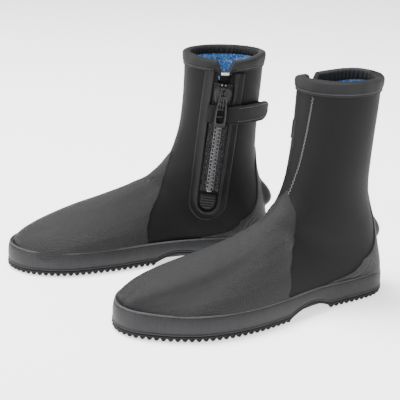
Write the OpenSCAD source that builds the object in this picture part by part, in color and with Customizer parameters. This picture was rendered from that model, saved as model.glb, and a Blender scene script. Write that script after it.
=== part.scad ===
// Pair of ankle-high neoprene boots with a zip on the inner side, as used in
// diving and water sports. Each boot is modelled in its own frame (toes along -Y,
// heel at y = 0, sole at z = 0, outer side of the foot along +X), then placed.
// The right boot is the mirror image of the left one.

/* [Pair] */
// Distance of each boot from the middle of the pair, mm
stance = 76; // [74:1:120]
// How far the toes turn outwards, degrees
toe_out = 9; // [0:1:12]
// How far the left boot stands behind the right one, mm
stagger = 58; // [0:1:60]

/* [Upper] */
// Thickness of the neoprene, mm
neoprene_t = 3.4; // [2.6:0.1:3.6]
// Thickness of the plush lining, mm
lining_t = 1.4; // [1:0.1:1.6]
// Thickness of the coated cover over the toes, mm
cover_t = 1.2; // [0.8:0.1:1.3]
// Height of the binding round the cuff, mm
binding_h = 13; // [8:1:16]

/* [Sole] */
// Height of the tread studs, mm
stud_h = 2.6; // [1.5:0.1:3]
// Spacing of the tread studs, mm
stud_pitch = 11; // [9:0.5:16]
// Height of the rubber sidewall above the floor, mm
sidewall_h = 24; // [22:1:28]

/* [Zip] */
// Spacing of the zip teeth, mm
tooth_pitch = 2.5; // [2:0.1:4]
// Width of the strap, mm
strap_w = 19; // [14:1:20]

/* [Hidden] */
gap = 0.1;
rows = [
    // instep or shin (f, z), heel or sole (f, z), outer and inner half width,
    // sideways shift, place of the widest point, squareness of the lower corner
    [98, 228, 10, 228, 38.5, 38.8, 0, 0.50, 2.0],
    [98, 201, 11.5, 201, 38.0, 38.3, 0, 0.50, 2.0],
    [99, 174, 13.5, 174, 37.0, 37.7, 0, 0.50, 2.0],
    [102, 148, 15, 143, 36.0, 37.2, 0, 0.50, 2.0],
    [107, 129, 15, 118, 35.5, 36.7, 0, 0.50, 2.0],
    [113, 113.5, 12.5, 97, 36.0, 36.3, 0, 0.51, 2.1],
    [120, 104, 6, 73, 37.5, 36.2, 0, 0.54, 2.3],
    [126, 98, 1.5, 47, 38.5, 37.0, 0, 0.60, 2.6],
    [131, 94, 0, 27, 38.5, 37.5, 0, 0.68, 3.0],
    [136, 90, 5, 13.5, 38.5, 37.5, 0, 0.74, 3.5],
    [140, 87.5, 26, 11.5, 38.5, 37.5, 0, 0.78, 4],
    [145, 85, 58, 11.5, 39.0, 37.0, 0, 0.80, 5],
    [152, 82, 90, 11.5, 42.0, 37.0, 0, 0.82, 5],
    [162, 77, 120, 11.5, 45.0, 39.0, 0, 0.82, 5],
    [177, 71, 149, 11.5, 48.0, 44.0, 0, 0.82, 5],
    [197, 64, 178, 11.5, 51.0, 49.0, -1, 0.82, 5],
    [217, 58, 208, 11.5, 51.0, 51.0, -3, 0.80, 5],
    [236, 52, 234, 11.5, 47.0, 49.0, -6, 0.78, 5],
    [254, 46, 256, 11.5, 40.0, 43.0, -9, 0.76, 5],
    [270, 40, 272, 12.5, 30.0, 33.0, -11, 0.74, 4],
    [281, 34, 283, 14, 20.0, 22.0, -12, 0.70, 4],
    [287.5, 28, 289, 16, 10.0, 10.5, -12, 0.66, 3],
    [290, 22, 290.5, 19, 3.0, 3.0, -12, 0.60, 3]];
// plan of the sole, (x, f), anticlockwise from the back of the heel
sole_plan = [
    [0, -3], [17, -1.5], [31, 6.5], [39.5, 22], [42, 46], [42, 75], [43.5, 100],
    [48, 125], [52, 150], [54.5, 178], [52.5, 210], [46, 235], [35, 256],
    [22, 273], [6, 288], [-12, 294], [-29, 290], [-45, 277], [-55.5, 256],
    [-60, 234], [-59, 210], [-54.5, 178], [-48, 150], [-43, 120], [-40.5, 90],
    [-41, 60], [-40.5, 40], [-37, 18], [-28, 3.5], [-14, -2.2]];
shaft_step = 27;
rim_z = rows[0][1];
rings = 26;
half_points = 10;
ring_points = 2 * half_points;
toe_rings = 2;
ankle_ring = 10;
notch_s = -0.438;
notch_half = 0.14;
notch_depth = 0.6;
board_z = 10;
outsole_z = 6;
ankle_f = 60;
ankle_y = 83.933;
lining_d = neoprene_t + gap;
inner_d = lining_d + lining_t;
cover_d = cover_t + gap;
// the zip's straight track on the inner side: its foot, head and direction
zip_foot = [-34.9, -75.9, 77];
zip_head = [-37.6, -63, 205];
zip_len = norm(zip_head - zip_foot);
zip_up = (zip_head - zip_foot) / zip_len;
zip_turn = 10;
zip_level = cross([-cos(zip_turn), -sin(zip_turn), 0], zip_up);
zip_out = cross(zip_up, zip_level) / norm(zip_level);
zip_side = cross(zip_out, zip_up);
slot_half = 8;
tape_in = 2.9;
tape_out = 10.2;
tape_half_t = 0.3;
tape_top = 124.2;
chain_foot = 5.2;
tooth_half_t = 1.2;
slider_l = 17;
slider_c = 104;
lip_b = 0.6;
plate_b = 1.5;
plate_t = 1.5;
bail_c = slider_c + 10.5;
bail_b = 6.4;
bail_r = 0.9;
eye_r = 2.1;
welt_half = 22;
window_half = 10.4;
window_foot = -21;
welt_d = 2.6;
strap_c = 91;
strap_b = 3.1;
strap_t = 1.8;
strap_split = 12;
strap_d = 2.95;
hook_t = 1;
strap_z = zip_foot[2] + strap_c * zip_up[2];

// ---- curves ----
function spline(a, b, c, d, u) =
    0.5 * (2 * b + (c - a) * u + (2 * a - 5 * b + 4 * c - d) * u * u
        + (3 * b - 3 * c + d - a) * u * u * u);
function clamp_row(i) = rows[max(0, min(len(rows) - 1, i))];
function row_at(t) =
    let (i = min(len(rows) - 2, floor(t)), u = t - i)
    i == 0
    ? (1 - u) * rows[0] + u * rows[1]
    : spline(clamp_row(i - 1), clamp_row(i), clamp_row(i + 1), clamp_row(i + 2), u);
function bulge(q, widest, corner) =
    q <= widest
    ? sqrt(max(0, 1 - pow(1 - q / widest, 2)))
    : pow(max(0, 1 - pow((q - widest) / (1 - widest), corner)), 1 / corner);
// A point of the upper: t counts the rows from cuff to toe, s goes from the front
// (0) round the outer (+) or inner (-) side to the back (1), d is the depth.
function upper_point(t, s, d) =
    let (
        r = row_at(t),
        chord = [r[2] - r[0], r[3] - r[1]],
        unit = chord / norm(chord),
        a = [r[0], r[1]] + unit * d,
        b = [r[2], r[3]] - unit * d,
        q = (1 - cos(180 * abs(s))) / 2,
        p = a + (b - a) * q,
        half = (s > 0 ? r[4] : r[5]) - d,
        x = r[6] + sign(s) * half * bulge(q, r[7], r[8]))
    [x, -p[0], p[1]];
// The rim dips in a notch above the zip.
function notch(s) =
    notch_depth * max(0, 1 - abs(s - notch_s) / notch_half);
function rim_t(t, s) = t < 2 ? t + notch(s) * (1 - t / 2) : t;
function row_t(z) = (rim_z - z) / shaft_step;
function around(j) =
    let (k = j / half_points) k <= 1 ? k : k - 2;
function ring(t, d) =
    [for (j = [0:ring_points - 1])
        let (s = around(j)) upper_point(rim_t(t, s), s, d)];
function ring_t(i) = i * (len(rows) - 1) / (rings - 1);
function plan(off) =
    let (n = len(sole_plan))
    [for (i = [0:n - 1]) for (u = [0, 0.5])
        let (
            a = sole_plan[(i + n - 1) % n],
            b = sole_plan[i],
            c = sole_plan[(i + 1) % n],
            d = sole_plan[(i + 2) % n],
            p = spline(a, b, c, d, u),
            along = u == 0 ? c - a : c - b,
            out = [along[1], -along[0]] / norm(along))
        [p[0] + out[0] * off, -(p[1] + out[1] * off)]];

// ---- solids ----
// Two triangles for each cell of a strip between two closed rings of n points.
function band_faces(i, k, n) =
    [for (j = [0:n - 1]) for (f = [0, 1])
        let (j2 = (j + 1) % n)
        f == 0 ? [i + j, k + j, k + j2] : [i + j, k + j2, i + j2]];
// The same triangles facing the other way, for an outer skin.
function skin_faces(i, k, n) =
    [for (f = band_faces(i, k, n)) [f[0], f[2], f[1]]];
// A solid lofted through closed rings, with flat ends.
module loft(levels) {
    n = len(levels[0]);
    m = len(levels);
    polyhedron(
        points = [for (l = levels) each l],
        faces = concat(
            [for (i = [0:m - 2]) each skin_faces(i * n, (i + 1) * n, n)],
            [[for (j = [n - 1:-1:0]) j]],
            [[for (j = [0:n - 1]) (m - 1) * n + j]]));
}
// A sock: an outer and an inner loft joined at the rim, closed at the toe.
module sock(outer, inner) {
    n = len(outer[0]);
    m = len(outer);
    k = len(inner);
    base = m * n;
    polyhedron(
        points = concat([for (l = outer) each l], [for (l = inner) each l]),
        faces = concat(
            [for (i = [0:m - 2]) each skin_faces(i * n, (i + 1) * n, n)],
            [for (i = [0:k - 2]) each band_faces(base + i * n, base + (i + 1) * n, n)],
            band_faces(0, base, n),
            [[for (j = [0:n - 1]) (m - 1) * n + j]],
            [[for (j = [n - 1:-1:0]) base + (k - 1) * n + j]]));
}
// A tube between an outer and an inner loft, open at both ends.
module tube(outer, inner) {
    n = len(outer[0]);
    m = len(outer);
    base = m * n;
    polyhedron(
        points = concat([for (l = outer) each l], [for (l = inner) each l]),
        faces = concat(
            [for (i = [0:m - 2]) each skin_faces(i * n, (i + 1) * n, n)],
            [for (i = [0:m - 2]) each band_faces(base + i * n, base + (i + 1) * n, n)],
            band_faces(0, base, n),
            skin_faces((m - 1) * n, base + (m - 1) * n, n)));
}
// A closed hoop of n-point rings, each joined to the next and the last to the first.
module hoop(levels) {
    n = len(levels[0]);
    m = len(levels);
    polyhedron(
        points = [for (l = levels) each l],
        faces = [for (i = [0:m - 1]) each band_faces(i * n, ((i + 1) % m) * n, n)]);
}
// A slab between two grids of points, the outer one first.
module slab(outer, inner) {
    m = len(outer);
    n = len(outer[0]);
    base = m * n;
    cells = [for (i = [0:m - 2]) for (j = [0:n - 2]) i * n + j];
    rim = concat(
        [for (j = [0:n - 2]) j],
        [for (i = [0:m - 2]) i * n + n - 1],
        [for (j = [n - 1:-1:1]) (m - 1) * n + j],
        [for (i = [m - 1:-1:1]) i * n]);
    polyhedron(
        points = concat([for (l = outer) each l], [for (l = inner) each l]),
        faces = concat(
            [for (c = cells) each [[c + n + 1, c + 1, c], [c + n, c + n + 1, c]]],
            [for (c = cells) each [
                [base + c, base + c + 1, base + c + n + 1],
                [base + c, base + c + n + 1, base + c + n]]],
            [for (i = [0:len(rim) - 1])
                let (a = rim[i], b = rim[(i + 1) % len(rim)])
                each [[base + a, a, b], [base + b, base + a, b]]]));
}
// A slab on the upper over a grid of [t, s] places.
module patch(places, d_out, d_in) {
    slab(
        [for (l = places) [for (p = l) upper_point(p[0], p[1], d_out)]],
        [for (l = places) [for (p = l) upper_point(p[0], p[1], d_in)]]);
}
// Everything on the zip is drawn across (X), outwards (Y) and up the track (Z).
module on_zip() {
    multmatrix([
        [zip_side[0], zip_out[0], zip_up[0], zip_foot[0]],
        [zip_side[1], zip_out[1], zip_up[1], zip_foot[1]],
        [zip_side[2], zip_out[2], zip_up[2], zip_foot[2]]])
        children();
}
module block(x0, x1, y0, y1, z0, z1) {
    translate([x0, y0, z0]) cube([x1 - x0, y1 - y0, z1 - z0]);
}
module slot() {
    on_zip() {
        block(-slot_half, slot_half, -12, 6, slot_half, zip_len + 20);
        translate([0, 6, slot_half]) rotate([90, 0, 0])
            cylinder(r = slot_half, h = 18, $fn = 48);
    }
}
// The upper filled in, out to d under its face, from the rim to the given ring.
module upper_hull(d, last) {
    loft([for (i = [0:last]) ring(ring_t(i), d)]);
}
// The layer that a cover cut to the given outline takes up on the upper.
module cover_layer() {
    intersection() {
        children();
        difference() {
            upper_hull(-cover_t, rings - 1);
            upper_hull(-gap, rings - 1);
        }
    }
}
module sole_slice(off, z0, z1) {
    translate([0, 0, z0]) linear_extrude(height = z1 - z0) polygon(plan(off));
}

// ---- sole ----
module outsole() {
    arch_f = 109;
    arch_top = 5.2;
    arch_r = 141.5;
    heel_rows = [for (f = [8:stud_pitch * 0.9:80]) f];
    toe_rows = [for (f = [138:stud_pitch * 0.9:286]) f];
    color([0.13, 0.13, 0.14]) {
        difference() {
            sole_slice(1.5, stud_h, outsole_z);
            translate([-70, -arch_f, arch_top - arch_r]) rotate([0, 90, 0])
                cylinder(r = arch_r, h = 140, $fn = 180);
        }
        intersection() {
            sole_slice(1.2, 0, stud_h + 0.2);
            for (rows_f = [heel_rows, toe_rows]) for (i = [0:len(rows_f) - 1])
                for (x = [-66:stud_pitch:66])
                    translate([x + (i % 2) * stud_pitch / 2, -rows_f[i], 0])
                        rotate([0, 0, i % 2 == 0 ? 90 : 270])
                            cylinder(r = 4.6, h = stud_h + 0.2, $fn = 3);
        }
    }
}
module midsole() {
    color([0.2, 0.2, 0.21]) sole_slice(-3.4, outsole_z + gap, 8.4);
}
module insole_board() {
    color([0.45, 0.42, 0.36]) sole_slice(-3.6, 8.5, board_z - gap);
}
module sidewall_ring(z0, z1, flare0, flare1) {
    levels = [[flare0, z0], [(flare0 + flare1) / 2 + 0.4, (z0 + z1) / 2], [flare1, z1]];
    difference() {
        loft([for (l = levels) [for (p = plan(l[0])) [p[0], p[1], l[1]]]]);
        upper_hull(-cover_d - gap, rings - 1);
        sole_slice(-3.2, z0 - 5, board_z + 2.2);
    }
}
module sidewall() {
    color([0.27, 0.27, 0.28]) sidewall_ring(outsole_z + gap, sidewall_h, 1.2, -0.6);
}
module sidewall_bead() {
    color([0.2, 0.2, 0.21]) sidewall_ring(sidewall_h + gap, sidewall_h + 2.6, 0.3, -0.4);
}

// ---- upper ----
module shaft_shell() {
    color([0.1, 0.1, 0.11]) difference() {
        tube(
            [for (i = [0:ankle_ring]) ring(ring_t(i), 0)],
            [for (i = [0:ankle_ring]) ring(ring_t(i), neoprene_t)]);
        slot();
    }
}
module foot_shell() {
    seam = ring_t(ankle_ring);
    color([0.1, 0.1, 0.11]) sock(
        concat([ring(seam, 0)],
            [for (i = [ankle_ring + 1:rings - 1]) ring(ring_t(i), 0)]),
        concat([ring(seam, neoprene_t)],
            [for (i = [ankle_ring + 1:rings - 1 - toe_rings]) ring(ring_t(i), neoprene_t)]));
}
module lining() {
    color([0.15, 0.3, 0.6]) difference() {
        sock(
            [for (i = [0:rings - 2 - toe_rings]) ring(ring_t(i), lining_d)],
            [for (i = [0:rings - 3 - toe_rings]) ring(ring_t(i), inner_d)]);
        slot();
    }
}
module footbed() {
    color([0.3, 0.32, 0.36]) intersection() {
        upper_hull(inner_d + gap, rings - 3 - toe_rings);
        translate([0, -150, 0]) cube([200, 400, 2 * (board_z + 4.5 + inner_d)], center = true);
    }
}
module vamp_cover() {
    steps = 16;
    vamp_edge = [
        [0, 4.7], [0.1, 5.9], [0.2, 8.6], [0.3, 10.8], [0.4, 12.2], [0.5, 13], [0.62, 13.5]];
    last = len(rows) - 1;
    places = [for (j = [0:ring_points])
        let (
            s = -1 + j / half_points,
            start = lookup(abs(s), vamp_edge))
        [for (i = [0:steps]) [start + (last - start) * i / steps, s]]];
    trimmed = [for (l = places) [for (p = l) [p[0], max(-0.995, min(0.995, p[1]))]]];
    color([0.33, 0.33, 0.34]) cover_layer() patch(trimmed, -cover_t - 1.5, 1);
}
// Wraps the back of the heel, from the kicker's seat down under the sole.
module heel_panel() {
    flank = [[0, 0.14], [0.3, 0.2], [0.6, 0.33], [1, 0.36]];
    places = [for (j = [-4:4])
        [for (i = [0:14])
            let (
                top = 4.2 + 0.9 * pow(j / 4, 2),
                t = top + (10 - top) * i / 14,
                wide = lookup(i / 14, flank),
                back = 1 - wide * abs(j) / 4)
            [t, j < 0 ? -back : back]]];
    color([0.24, 0.24, 0.25]) cover_layer() patch(
        [for (j = [8:-1:0]) places[j]], -cover_t - 2.5, 2);
}
// The raised stop that keeps a fin strap from riding up.
module heel_kicker() {
    seat = -cover_t - gap;
    lift = [0, 2.5, 7, 10, 10.5, 7, 1];
    side = [0, 0.7, 0.95, 1, 0.95, 0.7, 0];
    places = [for (j = [6:-1:0]) [for (i = [0:6])
        let (back = 1 - 0.1 * abs(j - 3) / 3)
        [5.5 + 1.3 * i / 6, j < 3 ? -back : back, 0.4 + lift[i] * side[j]]]];
    color([0.12, 0.12, 0.13]) difference() {
        slab(
            [for (l = places) [for (p = l) upper_point(p[0], p[1], seat - p[2])]],
            [for (l = places) [for (p = l) upper_point(p[0], p[1], seat + 0.6)]]);
        upper_hull(seat, rings - 1);
    }
}
function raise(points, h) = [for (p = points) [p[0], p[1], p[2] + h]];
function hem(d) =
    [for (j = [0:ring_points - 1])
        let (
            s = around(j),
            deep = binding_h / shaft_step * (1 - 0.5 * notch(s) / notch_depth))
        upper_point(rim_t(deep, s), s, d)];
module cuff_binding() {
    color([0.2, 0.2, 0.21]) hoop([
        hem(-gap), hem(-1.5), ring(0.05, -1.8), raise(ring(0, 0.2), 1.7),
        raise(ring(0, inner_d - 0.2), 1.7), ring(0.05, inner_d + 1.8),
        hem(inner_d + 1.5), hem(inner_d + gap),
        raise(ring(0, inner_d + gap), gap), raise(ring(0, -gap), gap)]);
}
module notch_tab() {
    places = [for (j = [0:2]) [for (i = [0:1]) [0.52 + 0.2 * i, notch_s - 0.03 + 0.03 * j]]];
    color([0.85, 0.85, 0.85]) patch(places, -3, -2);
}

// ---- zip ----
// A panel over the zip's place on the upper, d_out proud and down to d_in.
module zip_panel(s_half, t0, t1, d_out, d_in) {
    steps_t = 14;
    steps_s = 6;
    patch(
        [for (j = [0:steps_s]) [for (i = [0:steps_t])
            [t0 + (t1 - t0) * i / steps_t, notch_s - s_half + 2 * s_half * j / steps_s]]],
        d_out, d_in);
}
// A tall prism across the wall, round at the foot.
module tongue(half, foot, head) {
    on_zip() {
        block(-half, half, -12, 12, foot + half, head);
        translate([0, 12, foot + half]) rotate([90, 0, 0])
            cylinder(r = half, h = 24, $fn = 48);
    }
}
module zip_welt() {
    color([0.14, 0.14, 0.15]) difference() {
        intersection() {
            zip_panel(0.2, 0.9, 11.2, -welt_d, 0.8);
            tongue(welt_half, window_foot - 10, tape_top);
        }
        upper_hull(-gap, rings - 1);
        tongue(window_half, window_foot, tape_top + 20);
    }
}
module garage_patch() {
    color([0.11, 0.11, 0.12]) intersection() {
        zip_panel(0.12, 6.2, 9.8, -2.1, -gap);
        difference() {
            tongue(window_half - 1.2, window_foot + 1.2, -0.6);
            on_zip() for (c = [-16:3:-4]) block(-12, 12, 1.2, 8, c, c + 1.2);
        }
    }
}
module zip_gusset() {
    color([0.07, 0.07, 0.08]) intersection() {
        zip_panel(0.12, 0.9, 7.6, inner_d - 0.8, inner_d + 1.3);
        upper_hull(inner_d + gap, rings - 3 - toe_rings);
    }
}
module zip_tape() {
    color([0.16, 0.16, 0.17]) on_zip() for (turn = [-1, 1]) {
        edge = [turn * tape_in, turn * tape_out];
        block(min(edge), max(edge), -tape_half_t, tape_half_t, 3.2, tape_top);
    }
}
// One row of teeth on its cord: turn is the side, shift the place of its teeth.
module teeth_row(turn, shift) {
    root = -1.3;
    tip = 1;
    cord = -2.8;
    half = 0.45;
    head = slider_c + 9;
    first = chain_foot + half + shift;
    steps = floor((head - half - first) / tooth_pitch);
    teeth = [for (i = [0:steps]) let (c = first + i * tooth_pitch) each [
        [root, c - half], [tip, c - half * 0.8], [tip, c + half * 0.8], [root, c + half]]];
    on_zip() translate([0, tooth_half_t, 0]) rotate([90, 0, 0])
        linear_extrude(height = 2 * tooth_half_t) scale([-turn, 1])
            polygon(concat([[cord, chain_foot]], [[root, chain_foot]], teeth,
                [[root, head], [cord, head]]));
}
module teeth_front() {
    color([0.25, 0.25, 0.26]) teeth_row(-1, 0.2);
}
module teeth_back() {
    color([0.25, 0.25, 0.26]) teeth_row(1, 0.2 + tooth_pitch / 2);
}
module top_stops() {
    stop_c = slider_c + slider_l + 0.3;
    color([0.3, 0.3, 0.3]) on_zip() for (x = [-2.8, 0.9])
        block(x, x + 1.9, -tooth_half_t, tooth_half_t, stop_c, stop_c + 2.4);
}
module bottom_stop() {
    color([0.3, 0.3, 0.3]) on_zip() block(-2.8, 2.8, -1.4, 1.4, 2.2, chain_foot - 0.1);
}
module slider_outline(b0, b1) {
    translate([0, b1, slider_c]) rotate([90, 0, 0]) linear_extrude(height = b1 - b0)
        polygon([[-5.4, 0], [5.4, 0], [6.8, 9], [6.6, 14], [3, slider_l],
            [-3, slider_l], [-6.6, 14], [-6.8, 9]]);
}
module slider() {
    lug_w = 1;
    lug_x = 2.2;
    color([0.08, 0.08, 0.09]) on_zip() {
        difference() {
            slider_outline(-plate_b - plate_t, plate_b + plate_t);
            block(-4.6, 4.6, -plate_b, plate_b, slider_c - 1, slider_c + slider_l + 1);
            block(-8, 8, -lip_b, lip_b, slider_c - 1, slider_c + slider_l + 1);
        }
        block(-0.75, 0.75, -plate_b - 0.2, plate_b + 0.2, slider_c + 12.2, slider_c + 16.5);
        for (x = [-lug_x - lug_w, lug_x])
            block(x, x + lug_w, plate_b + 1, bail_b + 1.1, bail_c - 1.6, bail_c + 1.6);
        translate([-lug_x - 0.3, bail_b, bail_c]) rotate([0, 90, 0])
            cylinder(r = bail_r, h = 2 * lug_x + 0.6, $fn = 32);
    }
}
module pull_link() {
    color([0.35, 0.35, 0.36]) on_zip() {
        difference() {
            union() {
                translate([-2, bail_b, bail_c]) rotate([0, 90, 0])
                    cylinder(r = eye_r, h = 4, $fn = 48);
                block(-2, 2, bail_b - 0.5, bail_b + 0.5, bail_c - 15, bail_c - 1.4);
                block(-2.7, 2.7, bail_b - 0.7, bail_b + 0.7, bail_c - 17, bail_c - 15);
            }
            translate([-3, bail_b, bail_c]) rotate([0, 90, 0])
                cylinder(r = bail_r + 0.06, h = 6, $fn = 48);
        }
    }
}
module puller() {
    head = bail_c - 7.5;
    foot = bail_c - 38;
    half = 5.6;
    b0 = strap_b + strap_t + 0.3;
    b1 = b0 + 3;
    color([0.07, 0.07, 0.08]) on_zip() difference() {
        union() {
            block(-half, half, b0, b1, foot + half, head - 2.5);
            block(-half + 2.5, half - 2.5, b0, b1, head - 3, head);
            translate([0, b1, foot + half]) rotate([90, 0, 0])
                cylinder(r = half, h = b1 - b0, $fn = 48);
            for (x = [-half + 2.5, half - 2.5])
                translate([x, b1, head - 2.5]) rotate([90, 0, 0])
                    cylinder(r = 2.5, h = b1 - b0, $fn = 32);
        }
        block(-2.9, 2.9, b0 - 1, b1 + 1, foot + 9, bail_c - 14.8);
        block(-2.05, 2.05, bail_b - 0.55, bail_b + 0.55, bail_c - 16, head + 1);
    }
}

// ---- strap ----
module strap_root() {
    c0 = strap_c - strap_w / 2;
    color([0.18, 0.18, 0.19]) on_zip() {
        block(-14, strap_split - 0.1, strap_b, strap_b + strap_t, c0, c0 + strap_w);
        block(-14, -11, 1.5, strap_b + 0.2, c0, c0 + strap_w);
    }
}
// Places on the strap's free end: u runs from its fold to the round tip.
function strap_s(u) = -0.512 - 0.413 * u;
function strap_half(u) =
    strap_w / 2 * (u < 0.82 ? 1 : sqrt(max(0.05, 1 - pow((u - 0.82) / 0.18, 2))));
function strap_rise(u) = 1.55 * pow(max(0, 1 - u / 0.2), 1.5);
module strap_layer(u0, u1, shrink, d_out, d_in) {
    stations = [for (i = [0:12]) u0 + (u1 - u0) * i / 12];
    function grid(d) = [for (k = [1:-1:-1]) [for (u = stations)
        upper_point(row_t(strap_z + k * (strap_half(u) - shrink)), strap_s(u),
            d - strap_rise(u))]];
    slab(grid(d_out), grid(d_in));
}
module strap_end() {
    color([0.13, 0.13, 0.14]) strap_layer(0, 1, 0, -strap_d - strap_t, -strap_d);
}
module hook_patch() {
    color([0.05, 0.05, 0.05]) strap_layer(0.26, 0.93, 1.5, -strap_d + gap, -strap_d + hook_t);
}
module loop_patch() {
    color([0.06, 0.06, 0.06]) strap_layer(0.24, 0.98, 1, -strap_d + hook_t + 0.4, -gap);
}

// ---- the pair ----
// Each boot turns about its ankle. ankle_y sets the pair's box about the origin.
module left() {
    translate([stance, ankle_y + stagger / 2, 0])
        rotate([0, 0, toe_out]) translate([0, ankle_f, 0]) children();
}
module right() {
    translate([-stance, ankle_y - stagger / 2, 0])
        rotate([0, 0, -toe_out]) mirror([1, 0, 0]) translate([0, ankle_f, 0]) children();
}

left() outsole();  // left_outsole
left() midsole();  // left_midsole
left() insole_board();  // left_insole_board
left() footbed();  // left_footbed
left() sidewall();  // left_sidewall
left() sidewall_bead();  // left_sidewall_bead
left() shaft_shell();  // left_shaft_shell
left() foot_shell();  // left_foot_shell
left() lining();  // left_lining
left() vamp_cover();  // left_vamp_cover
left() heel_panel();  // left_heel_panel
left() heel_kicker();  // left_heel_kicker
left() cuff_binding();  // left_cuff_binding
left() zip_welt();  // left_zip_welt
left() zip_tape();  // left_zip_tape
left() teeth_front();  // left_teeth_front
left() teeth_back();  // left_teeth_back
left() top_stops();  // left_top_stops
left() bottom_stop();  // left_bottom_stop
left() zip_gusset();  // left_zip_gusset
left() garage_patch();  // left_garage_patch
left() notch_tab();  // left_notch_tab
left() slider();  // left_slider
left() pull_link();  // left_pull_link
left() puller();  // left_puller
left() strap_root();  // left_strap_root
left() strap_end();  // left_strap_end
left() hook_patch();  // left_hook_patch
left() loop_patch();  // left_loop_patch
right() outsole();  // right_outsole
right() midsole();  // right_midsole
right() insole_board();  // right_insole_board
right() footbed();  // right_footbed
right() sidewall();  // right_sidewall
right() sidewall_bead();  // right_sidewall_bead
right() shaft_shell();  // right_shaft_shell
right() foot_shell();  // right_foot_shell
right() lining();  // right_lining
right() vamp_cover();  // right_vamp_cover
right() heel_panel();  // right_heel_panel
right() heel_kicker();  // right_heel_kicker
right() cuff_binding();  // right_cuff_binding
right() zip_welt();  // right_zip_welt
right() zip_tape();  // right_zip_tape
right() teeth_front();  // right_teeth_front
right() teeth_back();  // right_teeth_back
right() top_stops();  // right_top_stops
right() bottom_stop();  // right_bottom_stop
right() zip_gusset();  // right_zip_gusset
right() garage_patch();  // right_garage_patch
right() notch_tab();  // right_notch_tab
right() slider();  // right_slider
right() pull_link();  // right_pull_link
right() puller();  // right_puller
right() strap_root();  // right_strap_root
right() strap_end();  // right_strap_end
right() hook_patch();  // right_hook_patch
right() loop_patch();  // right_loop_patch
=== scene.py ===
import math

import bmesh
import bpy
import numpy as np

from mathutils import Matrix, Vector


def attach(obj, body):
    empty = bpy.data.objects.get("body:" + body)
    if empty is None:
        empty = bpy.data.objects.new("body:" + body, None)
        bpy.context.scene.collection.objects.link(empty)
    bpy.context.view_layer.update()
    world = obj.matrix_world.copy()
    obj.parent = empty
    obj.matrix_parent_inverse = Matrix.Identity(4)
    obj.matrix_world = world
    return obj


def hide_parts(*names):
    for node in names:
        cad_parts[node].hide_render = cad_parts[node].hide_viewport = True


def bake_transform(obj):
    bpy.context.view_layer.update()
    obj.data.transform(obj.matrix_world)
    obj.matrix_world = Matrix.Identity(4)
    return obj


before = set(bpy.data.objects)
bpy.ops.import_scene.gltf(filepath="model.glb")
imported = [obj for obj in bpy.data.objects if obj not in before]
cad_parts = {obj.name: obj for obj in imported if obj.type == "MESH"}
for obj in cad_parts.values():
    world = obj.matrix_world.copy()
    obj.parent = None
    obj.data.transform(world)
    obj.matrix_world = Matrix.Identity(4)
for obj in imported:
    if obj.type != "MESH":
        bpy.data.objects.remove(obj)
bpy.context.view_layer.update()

# ---- Midsole and insole board ----
# A thin foam midsole and a pressed fibre board lie inside the sidewall, glued between
# the outsole and the upper. They're seen only when the boot is taken apart.


class Wire:
    """A shader socket that takes part in Python arithmetic."""

    def __init__(self, finish, socket):
        self.finish = finish
        self.socket = socket

    def maths(self, operation, *values):
        return self.finish.node("ShaderNodeMath", {"operation": operation}, *values)

    def __add__(self, other):
        return self.maths("ADD", self, other)

    def __radd__(self, other):
        return self.maths("ADD", other, self)

    def __sub__(self, other):
        return self.maths("SUBTRACT", self, other)

    def __rsub__(self, other):
        return self.maths("SUBTRACT", other, self)

    def __mul__(self, other):
        return self.maths("MULTIPLY", self, other)

    def __rmul__(self, other):
        return self.maths("MULTIPLY", other, self)

    def wave(self):
        return self.maths("SINE", self)

    def rise(self, low, high):
        """0 at low, 1 at high and a smooth step between them."""
        settings = {"interpolation_type": "SMOOTHSTEP"}
        return self.finish.node("ShaderNodeMapRange", settings, self, low, high)


class Finish:
    """A material made of nodes on one Principled surface."""

    def __init__(self, name):
        self.material = bpy.data.materials.new(name)
        self.material.use_nodes = True
        self.tree = self.material.node_tree
        self.tree.nodes.clear()
        self.surface = self.tree.nodes.new("ShaderNodeBsdfPrincipled")
        out = self.tree.nodes.new("ShaderNodeOutputMaterial")
        self.tree.links.new(self.surface.outputs[0], out.inputs[0])

    def feed(self, socket, value):
        if isinstance(value, Wire):
            self.tree.links.new(value.socket, socket)
        elif socket.type == "RGBA":
            socket.default_value = (*value, 1.0)
        else:
            socket.default_value = value

    def node(self, kind, settings, *values, output=0, **named):
        made = self.tree.nodes.new(kind)
        for key, value in settings.items():
            setattr(made, key, value)
        for socket, value in zip(made.inputs, values):
            self.feed(socket, value)
        for key, value in named.items():
            self.feed(made.inputs[key], value)
        return Wire(self, made.outputs[output])

    def cloth_place(self):
        """Metres along the cloth, across its panel and down it."""
        return self.node("ShaderNodeTexCoord", {}, output=2)

    def body_place(self):
        return self.node("ShaderNodeTexCoord", {}, output=3)

    def part(self, vector, axis):
        return self.node("ShaderNodeSeparateXYZ", {}, vector, output=axis)

    def stretch(self, vector, x, y, z):
        return self.node("ShaderNodeVectorMath", {"operation": "MULTIPLY"}, vector, (x, y, z))

    def noise(self, vector, scale, detail=3.0):
        return self.node("ShaderNodeTexNoise", {}, Vector=vector, Scale=scale, Detail=detail)

    def cells(self, vector, scale):
        return self.node("ShaderNodeTexVoronoi", {}, Vector=vector, Scale=scale)

    def mix(self, share, first, second):
        made = self.tree.nodes.new("ShaderNodeMix")
        made.data_type = "RGBA"
        self.feed(made.inputs[0], share)
        self.feed(made.inputs[6], first)
        self.feed(made.inputs[7], second)
        return Wire(self, made.outputs[2])

    def bump(self, height, depth):
        return self.node("ShaderNodeBump", {}, Height=height, Distance=depth)

    def dress(self, **sockets):
        for key, value in sockets.items():
            self.feed(self.surface.inputs[key.replace("_", " ")], value)
        return self.material


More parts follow.
